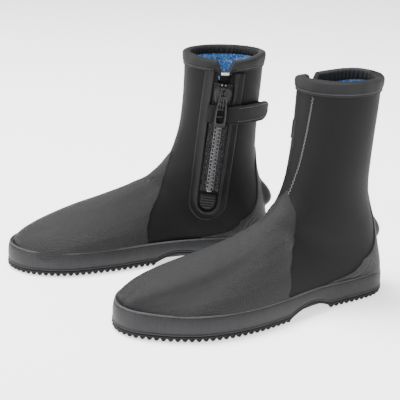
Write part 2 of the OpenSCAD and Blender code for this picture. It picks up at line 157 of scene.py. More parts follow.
def rubber(name, dark, pale, rough, grain, shine=0.2):
    """Moulded rubber: a fine grain, cloudy colour and paler scuffs."""
    finish = Finish(name)
    place = finish.body_place()
    cloud = finish.noise(place, 45.0)
    fine = finish.noise(place, grain, 4.0)
    scuff = finish.noise(finish.stretch(place, 1.0, 1.0, 3.0), 210.0, 5.0).rise(0.55, 0.72)
    return finish.dress(
        Base_Color=finish.mix(cloud * 0.6 + scuff * 0.5, dark, pale),
        Roughness=rough + 0.18 * fine,
        Normal=finish.bump(fine * 0.6 + cloud * 0.4, 0.0003),
        Specular_IOR_Level=shine,
    )


def refinish(node, material):
    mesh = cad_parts[node].data
    mesh.materials.clear()
    mesh.materials.append(material)


midsole_finish = rubber("midsole_foam", (0.03, 0.03, 0.032), (0.06, 0.06, 0.062), 0.7, 700.0)
board_finish = rubber("fibre_board", (0.24, 0.2, 0.15), (0.4, 0.36, 0.3), 0.75, 900.0)
for side in ("left", "right"):
    refinish(side + "_midsole", midsole_finish)
    refinish(side + "_insole_board", board_finish)

# ---- Neoprene upper ----
# The sock of the boot: two sheets of 3.4 mm neoprene with a knitted face, glued and
# blind-stitched edge to edge and lasted over the insole board. The numbers are in mm:
# each row is a section, from the cuff down over the heel and along to the toe.
rows = np.array([
    # front f and z, back f and z, outer and inner half width, shift, widest, corner
    [98, 228, 10, 228, 38.5, 38.8, 0, 0.50, 2.0],
    [98, 201, 11.5, 201, 38.0, 38.3, 0, 0.50, 2.0],
    [99, 174, 13.5, 174, 37.0, 37.7, 0, 0.50, 2.0],
    [102, 148, 15, 143, 36.0, 37.2, 0, 0.50, 2.0],
    [107, 129, 15, 118, 35.5, 36.7, 0, 0.50, 2.0],
    [113, 113.5, 12.5, 97, 36.0, 36.3, 0, 0.51, 2.1],
    [120, 104, 6, 73, 37.5, 36.2, 0, 0.54, 2.3],
    [126, 98, 1.5, 47, 38.5, 37.0, 0, 0.60, 2.6],
    [131, 94, 0, 27, 38.5, 37.5, 0, 0.68, 3.0],
    [136, 90, 5, 13.5, 38.5, 37.5, 0, 0.74, 3.5],
    [140, 87.5, 26, 11.5, 38.5, 37.5, 0, 0.78, 4],
    [145, 85, 58, 11.5, 39.0, 37.0, 0, 0.80, 5],
    [152, 82, 90, 11.5, 42.0, 37.0, 0, 0.82, 5],
    [162, 77, 120, 11.5, 46.5, 40.5, 0, 0.82, 5],
    [177, 71, 149, 11.5, 50.5, 46.5, 0, 0.82, 5],
    [197, 64, 178, 11.5, 53.5, 52.5, -1, 0.82, 5],
    [217, 58, 208, 11.5, 53.5, 54.5, -3, 0.80, 5],
    [236, 52, 234, 11.5, 49.5, 52.5, -6, 0.78, 5],
    [254, 46, 256, 11.5, 43.0, 46.5, -9, 0.76, 5],
    [270, 40, 272, 12.5, 32.5, 37.0, -11, 0.74, 4],
    [281.5, 34, 284, 13, 22.0, 27.0, -12, 0.72, 4],
    [287.5, 28.5, 289, 14, 11.5, 15.0, -12, 0.70, 3.5],
    [289.8, 23, 290.5, 16, 4.5, 6.0, -12, 0.66, 3],
])
toe_row = len(rows) - 1
neoprene_t = 3.4
zip_s, rim_dip = -0.438, 0.6
cuff_z, row_drop = 228.0, 27.0
stance, stagger, toe_out, ankle_f, ankle_y = 76.0, 58.0, 9.0, 60.0, 83.933


def curve(knots, t):
    """A smooth curve through evenly spaced knots, read at t."""
    knots, t = np.asarray(knots, float), np.asarray(t, float)
    last = len(knots) - 1
    i = np.clip(np.floor(t).astype(int), 0, last - 1)
    u = (t - i).reshape(t.shape + (1,) * (knots.ndim - 1))
    a, b, c, d = (knots[np.clip(i + k, 0, last)] for k in (-1, 0, 1, 2))
    return 0.5 * (2 * b + (c - a) * u + (2 * a - 5 * b + 4 * c - d) * u**2
                  + (3 * b - 3 * c + d - a) * u**3)


def row_at(t):
    straight = rows[0] + (rows[1] - rows[0]) * t[..., None]
    return np.where((t < 1)[..., None], straight, curve(rows, t))


def upper(t, s, depth=0.0):
    """The upper's surface in the boot's own frame: t counts the rows, s runs round."""
    t, s, depth = np.broadcast_arrays(
        np.asarray(t, float), np.asarray(s, float), np.asarray(depth, float))
    s = (s + 1.0) % 2.0 - 1.0
    r = row_at(t)
    chord = r[..., 2:4] - r[..., 0:2]
    unit = chord / np.linalg.norm(chord, axis=-1, keepdims=True)
    front = r[..., 0:2] + unit * depth[..., None]
    back = r[..., 2:4] - unit * depth[..., None]
    q = (1 - np.cos(np.pi * np.abs(s))) / 2
    p = front + (back - front) * q[..., None]
    widest, corner = r[..., 7], r[..., 8]
    above = np.sqrt(np.clip(1 - (1 - q / widest) ** 2, 0, 1))
    below = np.clip(1 - np.clip((q - widest) / (1 - widest), 0, 1) ** corner, 0, 1)
    bulge = np.where(q <= widest, above, below ** (1 / corner))
    half = np.where(s > 0, r[..., 4], r[..., 5]) - depth
    x = r[..., 6] + np.sign(s) * half * bulge
    return np.stack([x, -p[..., 0], p[..., 1]], -1)


def off_zip(s):
    """How far round the boot s lies from the zip."""
    return np.abs((np.asarray(s, float) - zip_s + 1.0) % 2.0 - 1.0)


def notch(s):
    """How far the rim dips above the zip, in rows: a slit in the middle of a sag."""
    off = off_zip(s)
    slit = np.clip((0.066 - off) / 0.035, 0, 1)
    sag = np.cos(np.clip(off / 0.45, 0, 1) * np.pi / 2) ** 2
    return rim_dip * (0.68 * slit + 0.32 * sag)


def rim_t(t, s):
    return np.where(t < 2, t + notch(s) * (1 - t / 2), t)


def stand(points, side):
    """From the boot's own frame in mm to its place in the pair, in metres."""
    x, y, z = points[..., 0], points[..., 1] + ankle_f, points[..., 2]
    turn = math.radians(toe_out)
    if side == "right":
        x, turn = -x, -turn
    away = 1 if side == "left" else -1
    return np.stack([
        x * math.cos(turn) - y * math.sin(turn) + away * stance,
        x * math.sin(turn) + y * math.cos(turn) + ankle_y + away * stagger / 2,
        z], -1) / 1000.0


def make_piece(name, side, points, faces, finish, slot, body, stands_for=(), cloth=None):
    """A mesh piece of one boot. cloth gives each corner's place on the cloth, in mm."""
    points = np.asarray(points, float).reshape(-1, 3)
    mesh = bpy.data.meshes.new(f"{side}_{name}")
    mesh.from_pydata(stand(points, side).tolist(), [], [list(f) for f in faces])
    if cloth is not None:
        flat = np.asarray(cloth, float).reshape(-1, 2) / 1000.0
        layer = mesh.uv_layers.new(name="cloth")
        picked = np.array([mesh.loops[i].vertex_index for i in range(len(mesh.loops))])
        layer.data.foreach_set("uv", flat[picked].ravel())
    shape = bmesh.new()
    shape.from_mesh(mesh)
    bmesh.ops.recalc_face_normals(shape, faces=shape.faces)
    shape.to_mesh(mesh)
    shape.free()
    mesh.materials.append(finish)
    mesh.shade_smooth()
    piece = bpy.data.objects.new(f"{side}_{name}", mesh)
    bpy.context.scene.collection.objects.link(piece)
    if body:
        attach(piece, f"{side}_{body}")
    if stands_for:
        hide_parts(*(f"{side}_{node}" for node in stands_for))
    return piece


def lengths(grid):
    """How far each grid point lies along its row and its column, in mm."""
    def run(g):
        step = np.linalg.norm(np.diff(g, axis=1), axis=-1)
        return np.concatenate([np.zeros((len(g), 1)), np.cumsum(step, 1)], 1)
    return run(grid), run(grid.swapaxes(0, 1)).T


def both(outer, inner):
    return np.concatenate([outer.reshape(-1, 3), inner.reshape(-1, 3)])


def cells(m, n, closed=False, base=0, flip=False):
    wrap = n if closed else n - 1
    quads = [(base + i * n + j, base + (i + 1) * n + j, base + (i + 1) * n + (j + 1) % n,
              base + i * n + (j + 1) % n) for i in range(m - 1) for j in range(wrap)]
    return [q[::-1] for q in quads] if flip else quads


def knitted_neoprene(name, dark, pale, shine):
    """Neoprene faced with fine jersey: tiny knit ribs and soft uneven shading."""
    finish = Finish(name)
    place = finish.cloth_place()
    ribs = (finish.part(place, 0) * 7800.0).wave() * (finish.part(place, 1) * 5200.0).wave()
    body = finish.body_place()
    cloud = finish.noise(body, 26.0, 4.0)
    dent = finish.noise(body, 9.0, 2.0)
    fuzz = finish.noise(body, 1400.0, 3.0)
    return finish.dress(
        Base_Color=finish.mix(cloud * 0.55 + fuzz * 0.45, dark, pale),
        Roughness=shine + 0.12 * cloud + 0.1 * fuzz,
        Normal=finish.bump(ribs * 0.06 + fuzz * 0.3 + cloud * 0.8 + dent * 3.0, 0.0005),
        Specular_IOR_Level=0.13,
    )


neoprene = knitted_neoprene("black_neoprene", (0.0035, 0.0035, 0.004), (0.009, 0.009, 0.0095), 0.5)
zip_foot = np.array([-34.9, -75.9, 77.0])
zip_head = np.array([-37.6, -63.0, 205.0])
zip_up = (zip_head - zip_foot) / np.linalg.norm(zip_head - zip_foot)
zip_face = np.array([-math.cos(math.radians(10)), -math.sin(math.radians(10)), 0.0])
zip_out = np.cross(zip_up, np.cross(zip_face, zip_up))
zip_out /= np.linalg.norm(zip_out)
zip_side = np.cross(zip_out, zip_up)


def on_zip(points):
    """From the zip's frame (across, outwards, up the track) to the boot's."""
    points = np.asarray(points, float)
    return (zip_foot + points[..., 0:1] * zip_side + points[..., 1:2] * zip_out
            + points[..., 2:3] * zip_up)


def zip_reading(points):
    off = points - zip_foot
    return off @ zip_side, off @ zip_out, off @ zip_up


def neoprene_sock(side):
    """One sock of neoprene, open at the cuff and slit behind the zip."""
    t = np.concatenate([np.linspace(0, 3, 26), np.linspace(3.15, toe_row, 96)])
    s = np.linspace(-1, 1, 121)[:-1]
    tt, ss = np.meshgrid(t, s, indexing="ij")
    outer = upper(rim_t(tt, ss), ss, 0.0)
    inner = upper(rim_t(np.minimum(tt, toe_row - 2.0), ss), ss, neoprene_t)
    m, n = tt.shape
    across, down = lengths(outer)
    a, b, c = zip_reading(outer)
    open_slit = ((np.abs(a) < 8.0) & (c > 6.0) & (b > -8.0)).ravel()
    faces = [f for f in cells(m, n, True) if not all(open_slit[v] for v in f)]
    faces += [f for f in cells(m, n, True, m * n, True)
              if not all(open_slit[v - m * n] for v in f)]
    faces += [(j, (j + 1) % n, (j + 1) % n + m * n, j + m * n) for j in range(n)]
    faces.append([(m - 1) * n + j for j in range(n)])
    cloth = np.stack([across, down], -1).reshape(-1, 2)
    make_piece("neoprene_sock", side, both(outer, inner), faces, neoprene, "neoprene", "boot",
               ("shaft_shell", "foot_shell"), np.concatenate([cloth, cloth]))


for side in ("left", "right"):
    neoprene_sock(side)

# ---- Footbed ----
# A removable footbed of soft foam under a woven cover, dished for the foot. It lies on
# the plush lining inside each boot.
sole_plan = np.array([
    [0, -3], [17, -1.5], [31, 6.5], [39.5, 22], [42, 46], [42, 75], [43.5, 100],
    [48, 125], [52, 150], [54.5, 178], [52.5, 210], [46, 235], [35, 256], [22, 273],
    [6, 288], [-12, 294], [-29, 290], [-45, 277], [-55.5, 256], [-60, 234], [-59, 210],
    [-54.5, 178], [-48, 150], [-43, 120], [-40.5, 90], [-41, 60], [-40.5, 40], [-37, 18],
    [-28, 3.5], [-14, -2.2]], float)


def plan_edge(outset, count):
    """The sole's outline, outset mm outside its plan, at count even stations."""
    wrapped = np.concatenate([sole_plan[-2:], sole_plan, sole_plan[:3]])
    path = curve(wrapped, 2 + np.linspace(0, len(sole_plan), 4 * count + 1))
    run = np.concatenate([[0], np.cumsum(np.linalg.norm(np.diff(path, axis=0), axis=1))])
    even = np.linspace(0, run[-1], count + 1)[:-1]
    path = np.stack([np.interp(even, run, path[:, k]) for k in (0, 1)], -1)
    along = np.roll(path, -1, 0) - np.roll(path, 1, 0)
    out = np.stack([along[:, 1], -along[:, 0]], -1)
    path = path + outset * out / np.linalg.norm(out, axis=1, keepdims=True)
    return np.stack([path[:, 0], -path[:, 1]], -1)


def loft(levels, capped=True):
    """Faces for closed rings of one size, joined in order, with flat ends."""
    m, n = len(levels), len(levels[0])
    faces = cells(m, n, True)
    if capped:
        faces += [list(range(n))[::-1], [(m - 1) * n + j for j in range(n)]]
    return np.concatenate(levels), faces


def gather(parts):
    """Joins several (points, faces) into one."""
    points, faces, base = [], [], 0
    for p, f in parts:
        points.append(p)
        faces += [[v + base for v in face] for face in f]
        base += len(p)
    return np.concatenate(points), faces


def flat_ring(outset, z, count=240):
    edge = plan_edge(outset, count)
    return np.concatenate([edge, np.full((len(edge), 1), z)], 1)


def drawn_in(ring, share):
    """A ring drawn in by a share of its way to the line down the sole's middle."""
    middle = np.stack([0 * ring[:, 0] - 4, np.clip(ring[:, 1], -262, -28)], -1)
    ring[:, :2] += (middle - ring[:, :2]) * share
    return ring


def woven_cover():
    """The footbed's thin woven cover."""
    finish = Finish("footbed_cover")
    place = finish.body_place()
    weave = (finish.part(place, 0) * 4200.0).wave() * (finish.part(place, 1) * 4200.0).wave()
    return finish.dress(
        Base_Color=finish.mix(weave * 0.5 + 0.5, (0.03, 0.06, 0.12), (0.06, 0.12, 0.24)),
        Roughness=0.85 + 0.05 * weave,
        Normal=finish.bump(weave, 0.0002),
    )


def footbed(side, finish):
    levels = [flat_ring(-15.6, 16.6), flat_ring(-15.0, 17.2), flat_ring(-15.0, 18.6),
              flat_ring(-15.7, 19.3)]
    for share in np.linspace(0.08, 0.96, 12):
        dished = flat_ring(-15.7, 19.3 - 0.9 * math.sin(share * math.pi / 2))
        levels.append(drawn_in(dished, share))
    piece = make_piece("footbed_pad", side, *loft(levels), finish, "footbed_foam", "boot",
                       ("footbed",))


footbed_finish = woven_cover()
for side in ("left", "right"):
    footbed(side, footbed_finish)

# ---- Outsole ----
# Each boot stands on a moulded rubber outsole: rows of three-sided studs under the
# forefoot and the heel with a smooth raised arch between them, dusty where they wear.


def tread_rubber():
    """Outsole rubber, paler with floor dust near the faces of the studs."""
    finish = Finish("outsole_rubber")
    place = finish.body_place()
    fine = finish.noise(place, 900.0, 4.0)
    dust = 1.0 - finish.part(place, 2).rise(0.0, 0.0016)
    return finish.dress(
        Base_Color=finish.mix(
            dust * 0.5 + fine * 0.25, (0.008, 0.008, 0.0085), (0.045, 0.044, 0.042)),
        Roughness=0.55 + 0.3 * fine,
        Normal=finish.bump(fine, 0.0004),
        Specular_IOR_Level=0.15,
    )


arch_f, arch_half = 109.0, 27.0


def arch(f):
    """0 under the tread and 1 at the middle of the arch between its two parts."""
    return np.clip(1 - ((f - arch_f) / arch_half) ** 2, 0, 1)


def studs():
    """Three-sided studs: rows under the forefoot and heel and a close row round the rim."""
    rim = plan_edge(-1.2, 104)
    spots = [(x, y, 3.3, math.atan2(y + 150, x) + math.pi) for x, y in rim]
    inside = plan_edge(-7.5, 240)
    for row, f in enumerate(np.arange(8.0, 288.0, 9.9)):
        for x in np.arange(-66.0, 66.0, 11.0) + (row % 2) * 5.5:
            near = inside[np.abs(inside[:, 1] + f) < 4.0]
            if len(near) and near[:, 0].min() < x < near[:, 0].max():
                spots.append((x, -f, 4.3, math.pi / 2 * (1 if row % 2 else -1)))
    parts = []
    for x, y, size, turned in spots:
        if arch(-y) > 0.02:
            continue
        angle = turned + np.linspace(0, 2 * np.pi, 13)[:-1]
        corner = 0.72 + 0.28 * np.cos(3 * (angle - turned)) ** 2
        flat = np.stack([np.cos(angle), np.sin(angle)], -1) * (corner * size)[:, None]
        rings = [np.concatenate([[x, y] + flat * k, np.full((12, 1), z)], 1)
                 for z, k in ((3.8, 1.1), (1.4, 0.74), (0.3, 0.5), (0.0, 0.38))]
        parts.append(loft(rings))
    return parts


def outsole(side, finish):
    wall = [(-3.0, 6.2), (0.8, 6.1), (1.6, 5.7), (1.75, 4.9), (1.5, 3.9), (0.9, 3.2)]
    levels = [flat_ring(outset, z, 360) for outset, z in wall]
    levels += [drawn_in(flat_ring(0.9, 3.0, 360), share) for share in np.linspace(0.05, 0.97, 14)]
    for ring in levels:
        ring[:, 2] += arch(-ring[:, 1]) * (6.4 + 0.6 * np.clip((6.2 - ring[:, 2]) / 3, 0, 1))
    points, faces = gather([loft(levels)] + studs())
    make_piece("outsole_tread", side, points, faces, finish, "sole_rubber", "boot",
               ("outsole",))


outsole_finish = tread_rubber()
for side in ("left", "right"):
    outsole(side, outsole_finish)

# ---- Sidewall and its beaded edge ----
# A band of grey rubber foxing wraps the foot above the outsole. A thin bead runs along
# its foot and a knurled bead along its top, where it's cemented to the upper.


def band_rubber(name, dark, pale):
    """Foxing rubber with fine upright rub marks and a satin face."""
    finish = Finish(name)
    place = finish.body_place()
    rub = finish.noise(finish.stretch(place, 1.0, 1.0, 0.12), 620.0, 4.0)
    cloud = finish.noise(place, 38.0, 3.0)
    fine = finish.noise(place, 1500.0, 2.0)
    return finish.dress(
        Base_Color=finish.mix(rub * 0.55 + cloud * 0.4, dark, pale),
        Roughness=0.42 + 0.16 * rub + 0.1 * fine,
        Normal=finish.bump(rub * 0.7 + fine * 0.3, 0.00025),
        Specular_IOR_Level=0.2,
    )


def foxing_heel_lift(ring):
    """The band stands a little higher round the heel and at the toe."""
    f = -ring[:, 1]
    return 2.2 * np.clip((60 - f) / 60, 0, 1) ** 1.5 + 1.5 * np.clip((f - 250) / 40, 0, 1)


def foxing_band(side, finish):
    profile = [(-3.0, 6.1), (0.6, 6.1), (1.5, 6.5), (1.7, 7.2), (1.5, 7.9), (0.9, 8.3),
               (0.95, 9.2), (1.25, 12.0), (1.2, 16.0), (0.7, 20.0), (0.0, 22.8),
               (-0.9, 24.0), (-2.2, 24.6), (-4.6, 24.4), (-6.0, 20.0), (-5.0, 12.0)]
    levels = []
    for outset, z in profile:
        ring = flat_ring(outset, z, 480)
        ring[:, 2] += foxing_heel_lift(ring) * np.clip((z - 9) / 14, 0, 1)
        ring[:, 2] += 6.5 * arch(-ring[:, 1]) * np.clip((20 - z) / 12, 0, 1)
        levels.append(ring)
    points, faces = loft(levels + levels[:1], capped=False)
    make_piece("foxing_band", side, points, faces, finish, "sidewall_rubber", "boot",
               ("sidewall",))


def knurled_bead(side, finish):
    count = 1800
    around = np.linspace(0, 2 * np.pi, 13)[:-1]
    knurl = 0.22 * np.sin(2 * np.pi * np.arange(count) * 340 / count)
    levels = []
    for angle in around:
        ring = flat_ring(-1.7, 24.6, count)
        out = flat_ring(-0.7, 24.6, count) - ring
        ring = ring + out * ((1.05 + knurl) * math.cos(angle))[:, None]
        ring[:, 2] += (1.0 + knurl) * math.sin(angle) + foxing_heel_lift(ring)
        levels.append(ring)
    points, faces = loft(levels + levels[:1], capped=False)
    make_piece("knurled_bead", side, points, faces, finish, "sidewall_rubber", "boot",
               ("sidewall_bead",))


foxing_finish = band_rubber("foxing_rubber", (0.008, 0.008, 0.0085), (0.037, 0.037, 0.039))
bead_finish = band_rubber("bead_rubber", (0.02, 0.02, 0.021), (0.085, 0.085, 0.088))
for side in ("left", "right"):
    foxing_band(side, foxing_finish)
    knurled_bead(side, bead_finish)

# ---- Plush lining ----
# Blue plush bonded to the inside of the neoprene, with white fibres showing through its
# pile. It's slit behind the zip with the sock.


def plush(name, dark, pale):
    """Short pile: soft tufts, paler tips and scattered white fibres."""
    finish = Finish(name)
    place = finish.body_place()
    tuft = finish.noise(place, 300.0, 4.0).rise(0.36, 0.64)
    speck = 1.0 - finish.cells(place, 480.0).rise(0.16, 0.42)
    cloud = finish.noise(place, 40.0, 2.0)
    blue = finish.mix(tuft * 0.7 + cloud * 0.3, dark, pale)
    return finish.dress(
        Base_Color=finish.mix(speck * 0.75, blue, (0.75, 0.82, 0.9)),
        Roughness=0.9 + 0.05 * tuft,
        Normal=finish.bump(tuft + speck * 0.4, 0.0009),
        Sheen_Weight=0.6,
        Sheen_Roughness=0.5,
    )


def plush_lining(side, finish):
    t, s = np.meshgrid(np.linspace(0.06, toe_row - 2.6, 110),
                       np.linspace(-1, 1, 97)[:-1], indexing="ij")
    pile = 0.25 * np.sin(s * 260.0 + t * 9.0) * np.sin(t * 31.0)
    outer = upper(rim_t(t, s), s, 3.5)
    inner = upper(rim_t(t, s), s, 5.0 + pile)
    m, n = t.shape
    a, b, c = zip_reading(outer)
    slit = ((np.abs(a) < 8.0) & (c > 6.0) & (b > -14.0)).ravel()
    faces = cells(m, n, True) + cells(m, n, True, m * n, True)
    faces = [f for f in faces if not all(slit[v % (m * n)] for v in f)]
    faces += [(j, (j + 1) % n, (j + 1) % n + m * n, j + m * n) for j in range(n)]
    make_piece("plush_lining", side, both(outer, inner), faces, finish, "plush_lining", "boot",
               ("lining",))


lining_finish = plush("blue_plush", (0.008, 0.07, 0.3), (0.1, 0.36, 0.75))
for side in ("left", "right"):
    plush_lining(side, lining_finish)

# ---- Vamp cover ----
# The foot is faced with a rubber-coated fabric whose fine diagonal weave shows through
# the coating. It's cemented over the neoprene and its edge sweeps up over the instep.


def coated_weave(name, dark, pale, rough):
    """Rubber-dipped twill: fine diagonal ribs under a smooth satin skin."""
    finish = Finish(name)
    place = finish.cloth_place()
    u, v = finish.part(place, 0), finish.part(place, 1)
    waver = finish.noise(place, 60.0, 2.0) * 1.2
    one = ((u + v) * 1700.0 + waver).wave()
    two = ((u - v) * 1700.0 + waver).wave()
    weave = (one * two) * 0.5 + 0.5
    cloud = finish.noise(finish.body_place(), 30.0, 4.0)
    scuff = finish.noise(finish.body_place(), 700.0, 4.0).rise(0.42, 0.66)
    return finish.dress(
        Base_Color=finish.mix(weave * 0.8 + cloud * 0.1 + scuff * 0.12, dark, pale),
        Roughness=rough + 0.12 * cloud + 0.1 * weave,
        Normal=finish.bump(weave * 0.8 + scuff * 0.4 + cloud * 0.6, 0.0005),
        Specular_IOR_Level=0.22,
    )


def skin(name, side, outer, inner, finish, slot, body, stands_for=(), flat=None):
    """A solid between two grids of points. flat is the grid that its cloth is cut on."""
    m, n = outer.shape[:2]
    faces = cells(m, n) + cells(m, n, base=m * n, flip=True)
    edges = [(i * n + j, i * n + j + 1) for i in (0, m - 1) for j in range(n - 1)]
    edges += [(i * n + j, (i + 1) * n + j) for j in (0, n - 1) for i in range(m - 1)]
    faces += [(a, b, b + m * n, a + m * n) for a, b in edges]
    cloth = np.stack(lengths(outer if flat is None else flat), -1).reshape(-1, 2)
    return make_piece(name, side, both(outer, inner), faces, finish, slot, body, stands_for,
                      np.concatenate([cloth, cloth]))


def panel(name, side, t, s, top, base, finish, slot, stands_for, edge):
    """A cut panel lying on the upper, top mm proud of it, with rolled edges."""
    flat = upper(t, s)
    across, down = lengths(flat)
    near = np.minimum(np.minimum(down, down[-1:] - down),
                      np.minimum(across, across[:, -1:] - across))
    roll = np.sqrt(np.clip(1 - (1 - np.clip(near / edge, 0, 1)) ** 2, 0, 1))
    height = base + (top - base) * (0.25 + 0.75 * roll)
    skin(name, side, upper(t, s, -height), upper(t, s, -base), finish, slot, "boot",
         stands_for, flat)


def fine_ends(count, length):
    """0 to 1 in count even steps, with close steps in the first and last mm."""
    fine = np.array([0.0, 0.2, 0.6, 1.2]) / length
    return np.concatenate([fine, np.linspace(2.5 / length, 1 - 2.5 / length, count),
                           1 - fine[::-1]])


def vamp_cover(side, finish):
    s = np.linspace(-0.93, 0.93, 131)
    share = fine_ends(96, 260.0)
    start = np.where(
        s > 0,
        np.interp(s, [0, 0.08, 0.175, 0.205, 0.26, 0.335, 0.46, 0.65, 0.93],
                  [4.7, 5.25, 6.2, 7.2, 9.4, 11.0, 12.4, 13.3, 13.8]),
        np.interp(-s, [0, 0.06, 0.125, 0.17, 0.225, 0.31, 0.395, 0.51, 0.61, 0.93],
                  [4.7, 5.4, 6.75, 8.4, 10.2, 11.6, 12.6, 13.25, 13.5, 14.0]))
    tt = start[None] + (toe_row - start[None]) * share[:, None]
    ss = np.broadcast_to(s[None], tt.shape)
    panel("vamp_cover", side, tt, ss, 1.25, 0.05, finish, "coated_weave", ("vamp_cover",), 1.3)


vamp_finish = coated_weave("coated_weave", (0.0015, 0.0015, 0.0017), (0.028, 0.028, 0.029), 0.46)
for side in ("left", "right"):
    vamp_cover(side, vamp_finish)

# ---- Heel panel and heel kicker ----
# A wrap of textured rubber guards the back of the heel. The kicker, a moulded rubber
# wedge that keeps a fin strap from riding up, is bonded on it.


def flank(v):
    """How far round the heel wrap reaches, from its top to its foot."""
    return np.interp(v, [0, 0.26, 0.415, 0.51, 0.65, 0.8, 1],
                     [0.13, 0.23, 0.315, 0.36, 0.372, 0.34, 0.3])


def wrap_row(j, v):
    """The row of the upper at j across (-1 to 1) and v down the heel wrap."""
    top = 3.9 + 0.9 * j**2
    return top + (11.3 - top) * v


def heel_wrap(side, finish):
    j = 2 * fine_ends(60, 110.0) - 1
    v = fine_ends(60, 90.0)
    jj, vv = np.meshgrid(j, v)
    tt = wrap_row(jj, vv)
    ss = 1 + flank(vv) * jj
    panel("heel_wrap", side, tt, ss, 1.2, 0.05, finish, "heel_rubber", ("heel_panel",), 1.2)


def heel_kicker(side, finish):
    lift = [0, 2.5, 7, 10, 10.5, 7, 1]
    across = [0, 0.7, 0.95, 1, 0.95, 0.7, 0]
    j, v = np.linspace(-1, 1, 41), np.linspace(0, 1, 41)
    jj, vv = np.meshgrid(j, v)
    height = np.clip(curve(lift, vv * 6), 0, 12) * np.clip(curve(across, (jj + 1) * 3), 0, 1)
    tt, ss = 5.5 + 1.3 * vv, 1 + 0.11 * jj
    outer = upper(tt, ss, -1.25 - height)
    inner = upper(tt, ss, -1.0)
    m, n = tt.shape
    faces = cells(m, n) + cells(m, n, base=m * n, flip=True)
    make_piece("heel_kicker_block", side, both(outer, inner), faces, finish, "moulded_rubber",
               "boot", ("heel_kicker",))


heel_finish = rubber("heel_rubber", (0.009, 0.009, 0.0095), (0.05, 0.05, 0.052), 0.5, 1300.0)
kicker_finish = rubber("kicker_rubber", (0.007, 0.007, 0.0075), (0.026, 0.026, 0.027), 0.38, 800.0)
for side in ("left", "right"):
    heel_wrap(side, heel_finish)
    heel_kicker(side, kicker_finish)

# ---- Cuff binding ----
# Stretch binding is folded over the rim of neoprene and plush and sewn through. It rolls
# thickly over the edge, puckers on the inside and dips where the cuff is notched.


def stretch_binding():
    """Knitted binding: fine upright ribs and a soft dull face."""
    finish = Finish("stretch_binding")
    place = finish.cloth_place()
    ribs = (finish.part(place, 0) * 5600.0).wave()
    cloud = finish.noise(finish.body_place(), 60.0, 4.0)
    fuzz = finish.noise(finish.body_place(), 1100.0, 3.0)
    return finish.dress(
        Base_Color=finish.mix(cloud * 0.5 + fuzz * 0.3 + ribs * 0.12,
                              (0.0102, 0.0102, 0.0107), (0.0374, 0.0374, 0.0391)),
        Roughness=0.55 + 0.2 * fuzz,
        Normal=finish.bump(ribs * 0.3 + fuzz * 0.4 + cloud, 0.0005),
        Specular_IOR_Level=0.15,
    )


def binding_point(level, depth, lift, s):
    """A point of the binding: level 0 is the rim and 1 is the hem."""
    deep = 13 / row_drop * (1 - 0.6 * notch(s) / rim_dip)
    p = upper(rim_t(level * deep, s), s, depth)
    p[..., 2] += lift
    return p


def cuff_binding(side, finish):
    path = np.array([
        # level, depth, lift
        [1.0, -0.1, 0], [1.0, -0.9, 0], [0.93, -1.5, 0], [0.8, -1.0, 0], [0.66, -1.9, 0],
        [0.35, -2.3, 0], [0.08, -2.2, 0.2], [0.0, -1.2, 1.2], [0.0, 1.0, 2.2],
        [0.0, 3.6, 2.1], [0.0, 5.7, 1.1], [0.04, 6.5, 0.2], [0.15, 6.7, 0],
        [0.3, 6.6, 0], [0.38, 6.3, 0], [0.43, 6.0, 0], [0.43, 5.0, 0]])
    v = np.linspace(0, len(path) - 1, 66)
    s = np.linspace(-1, 1, 361)[:-1]
    profile = curve(path, v)
    level, depth, lift = (profile[:, k][:, None] for k in range(3))
    inside = np.clip((v[:, None] - 9) / 4, 0, 1)
    near_zip = np.exp(-((off_zip(s[None]) / 0.35) ** 2))
    level = level * (1 + inside * (0.3 + 1.1 * near_zip))
    pucker = 0.55 * np.sin(s * 150.0 + 2.0 * np.sin(s * 17.0))[None] * inside
    ease = 0.18 * np.sin(s * 47.0)[None] * (1 - inside)
    outer = binding_point(level, depth + pucker + ease, lift, s[None])
    m, n = outer.shape[:2]
    across, down = lengths(outer)
    make_piece("cuff_binding", side, outer, cells(m + 1, n, True)[: m * n - n], finish,
               "binding_fabric", "boot", ("cuff_binding",), np.stack([across, down], -1))


binding_finish = stretch_binding()
for side in ("left", "right"):
    cuff_binding(side, binding_finish)

# ---- Zip gusset and welt ----
# Behind the zip lies a thin flap of neoprene. Around it a moulded welt frames the tape,
# a smooth band with a raised lip on both edges, round at the foot.


def find_place(a, c):
    """The (t, s) place on the upper that lies a across and c up the zip."""
    a, c = np.broadcast_arrays(np.asarray(a, float), np.asarray(c, float))
    t = np.interp(c, [-31, 0, 45, 121], [10, 7.05, 4.15, 1.15])
    s = zip_s - a / 140.0

    def miss(tt, ss):
        aa, _, cc = zip_reading(upper(tt, ss))
        return aa - a, cc - c

    step = 1e-3
    for _ in range(9):
        e0, e1 = miss(t, s)
        ta, tc = miss(t + step, s)
        sa, sc = miss(t, s + step)
        j00, j01 = (ta - e0) / step, (sa - e0) / step
        j10, j11 = (tc - e1) / step, (sc - e1) / step
        fall = j00 * j11 - j01 * j10
        fall = np.where(np.abs(fall) < 1e-6, 1e-6, fall)
        t = t - np.clip((j11 * e0 - j01 * e1) / fall, -0.8, 0.8)
        s = s - np.clip((j00 * e1 - j10 * e0) / fall, -0.08, 0.08)
        t = np.clip(t, 0.0, 12.0)
    return t, s


def arch_path(half, foot, top, count):
    """Down one side of the zip, round its foot and up the other side."""
    straight = np.linspace(top, foot + half, count)
    angle = np.linspace(0, np.pi, count)
    a = np.concatenate([np.full(count, -half), -half * np.cos(angle), np.full(count, half)])
    c = np.concatenate([straight, foot + half - half * np.sin(angle), straight[::-1]])
    run = np.concatenate([[0], np.cumsum(np.hypot(np.diff(a), np.diff(c)))])
    even = np.linspace(0, run[-1], 2 * count)
    return np.interp(even, run, a), np.interp(even, run, c)


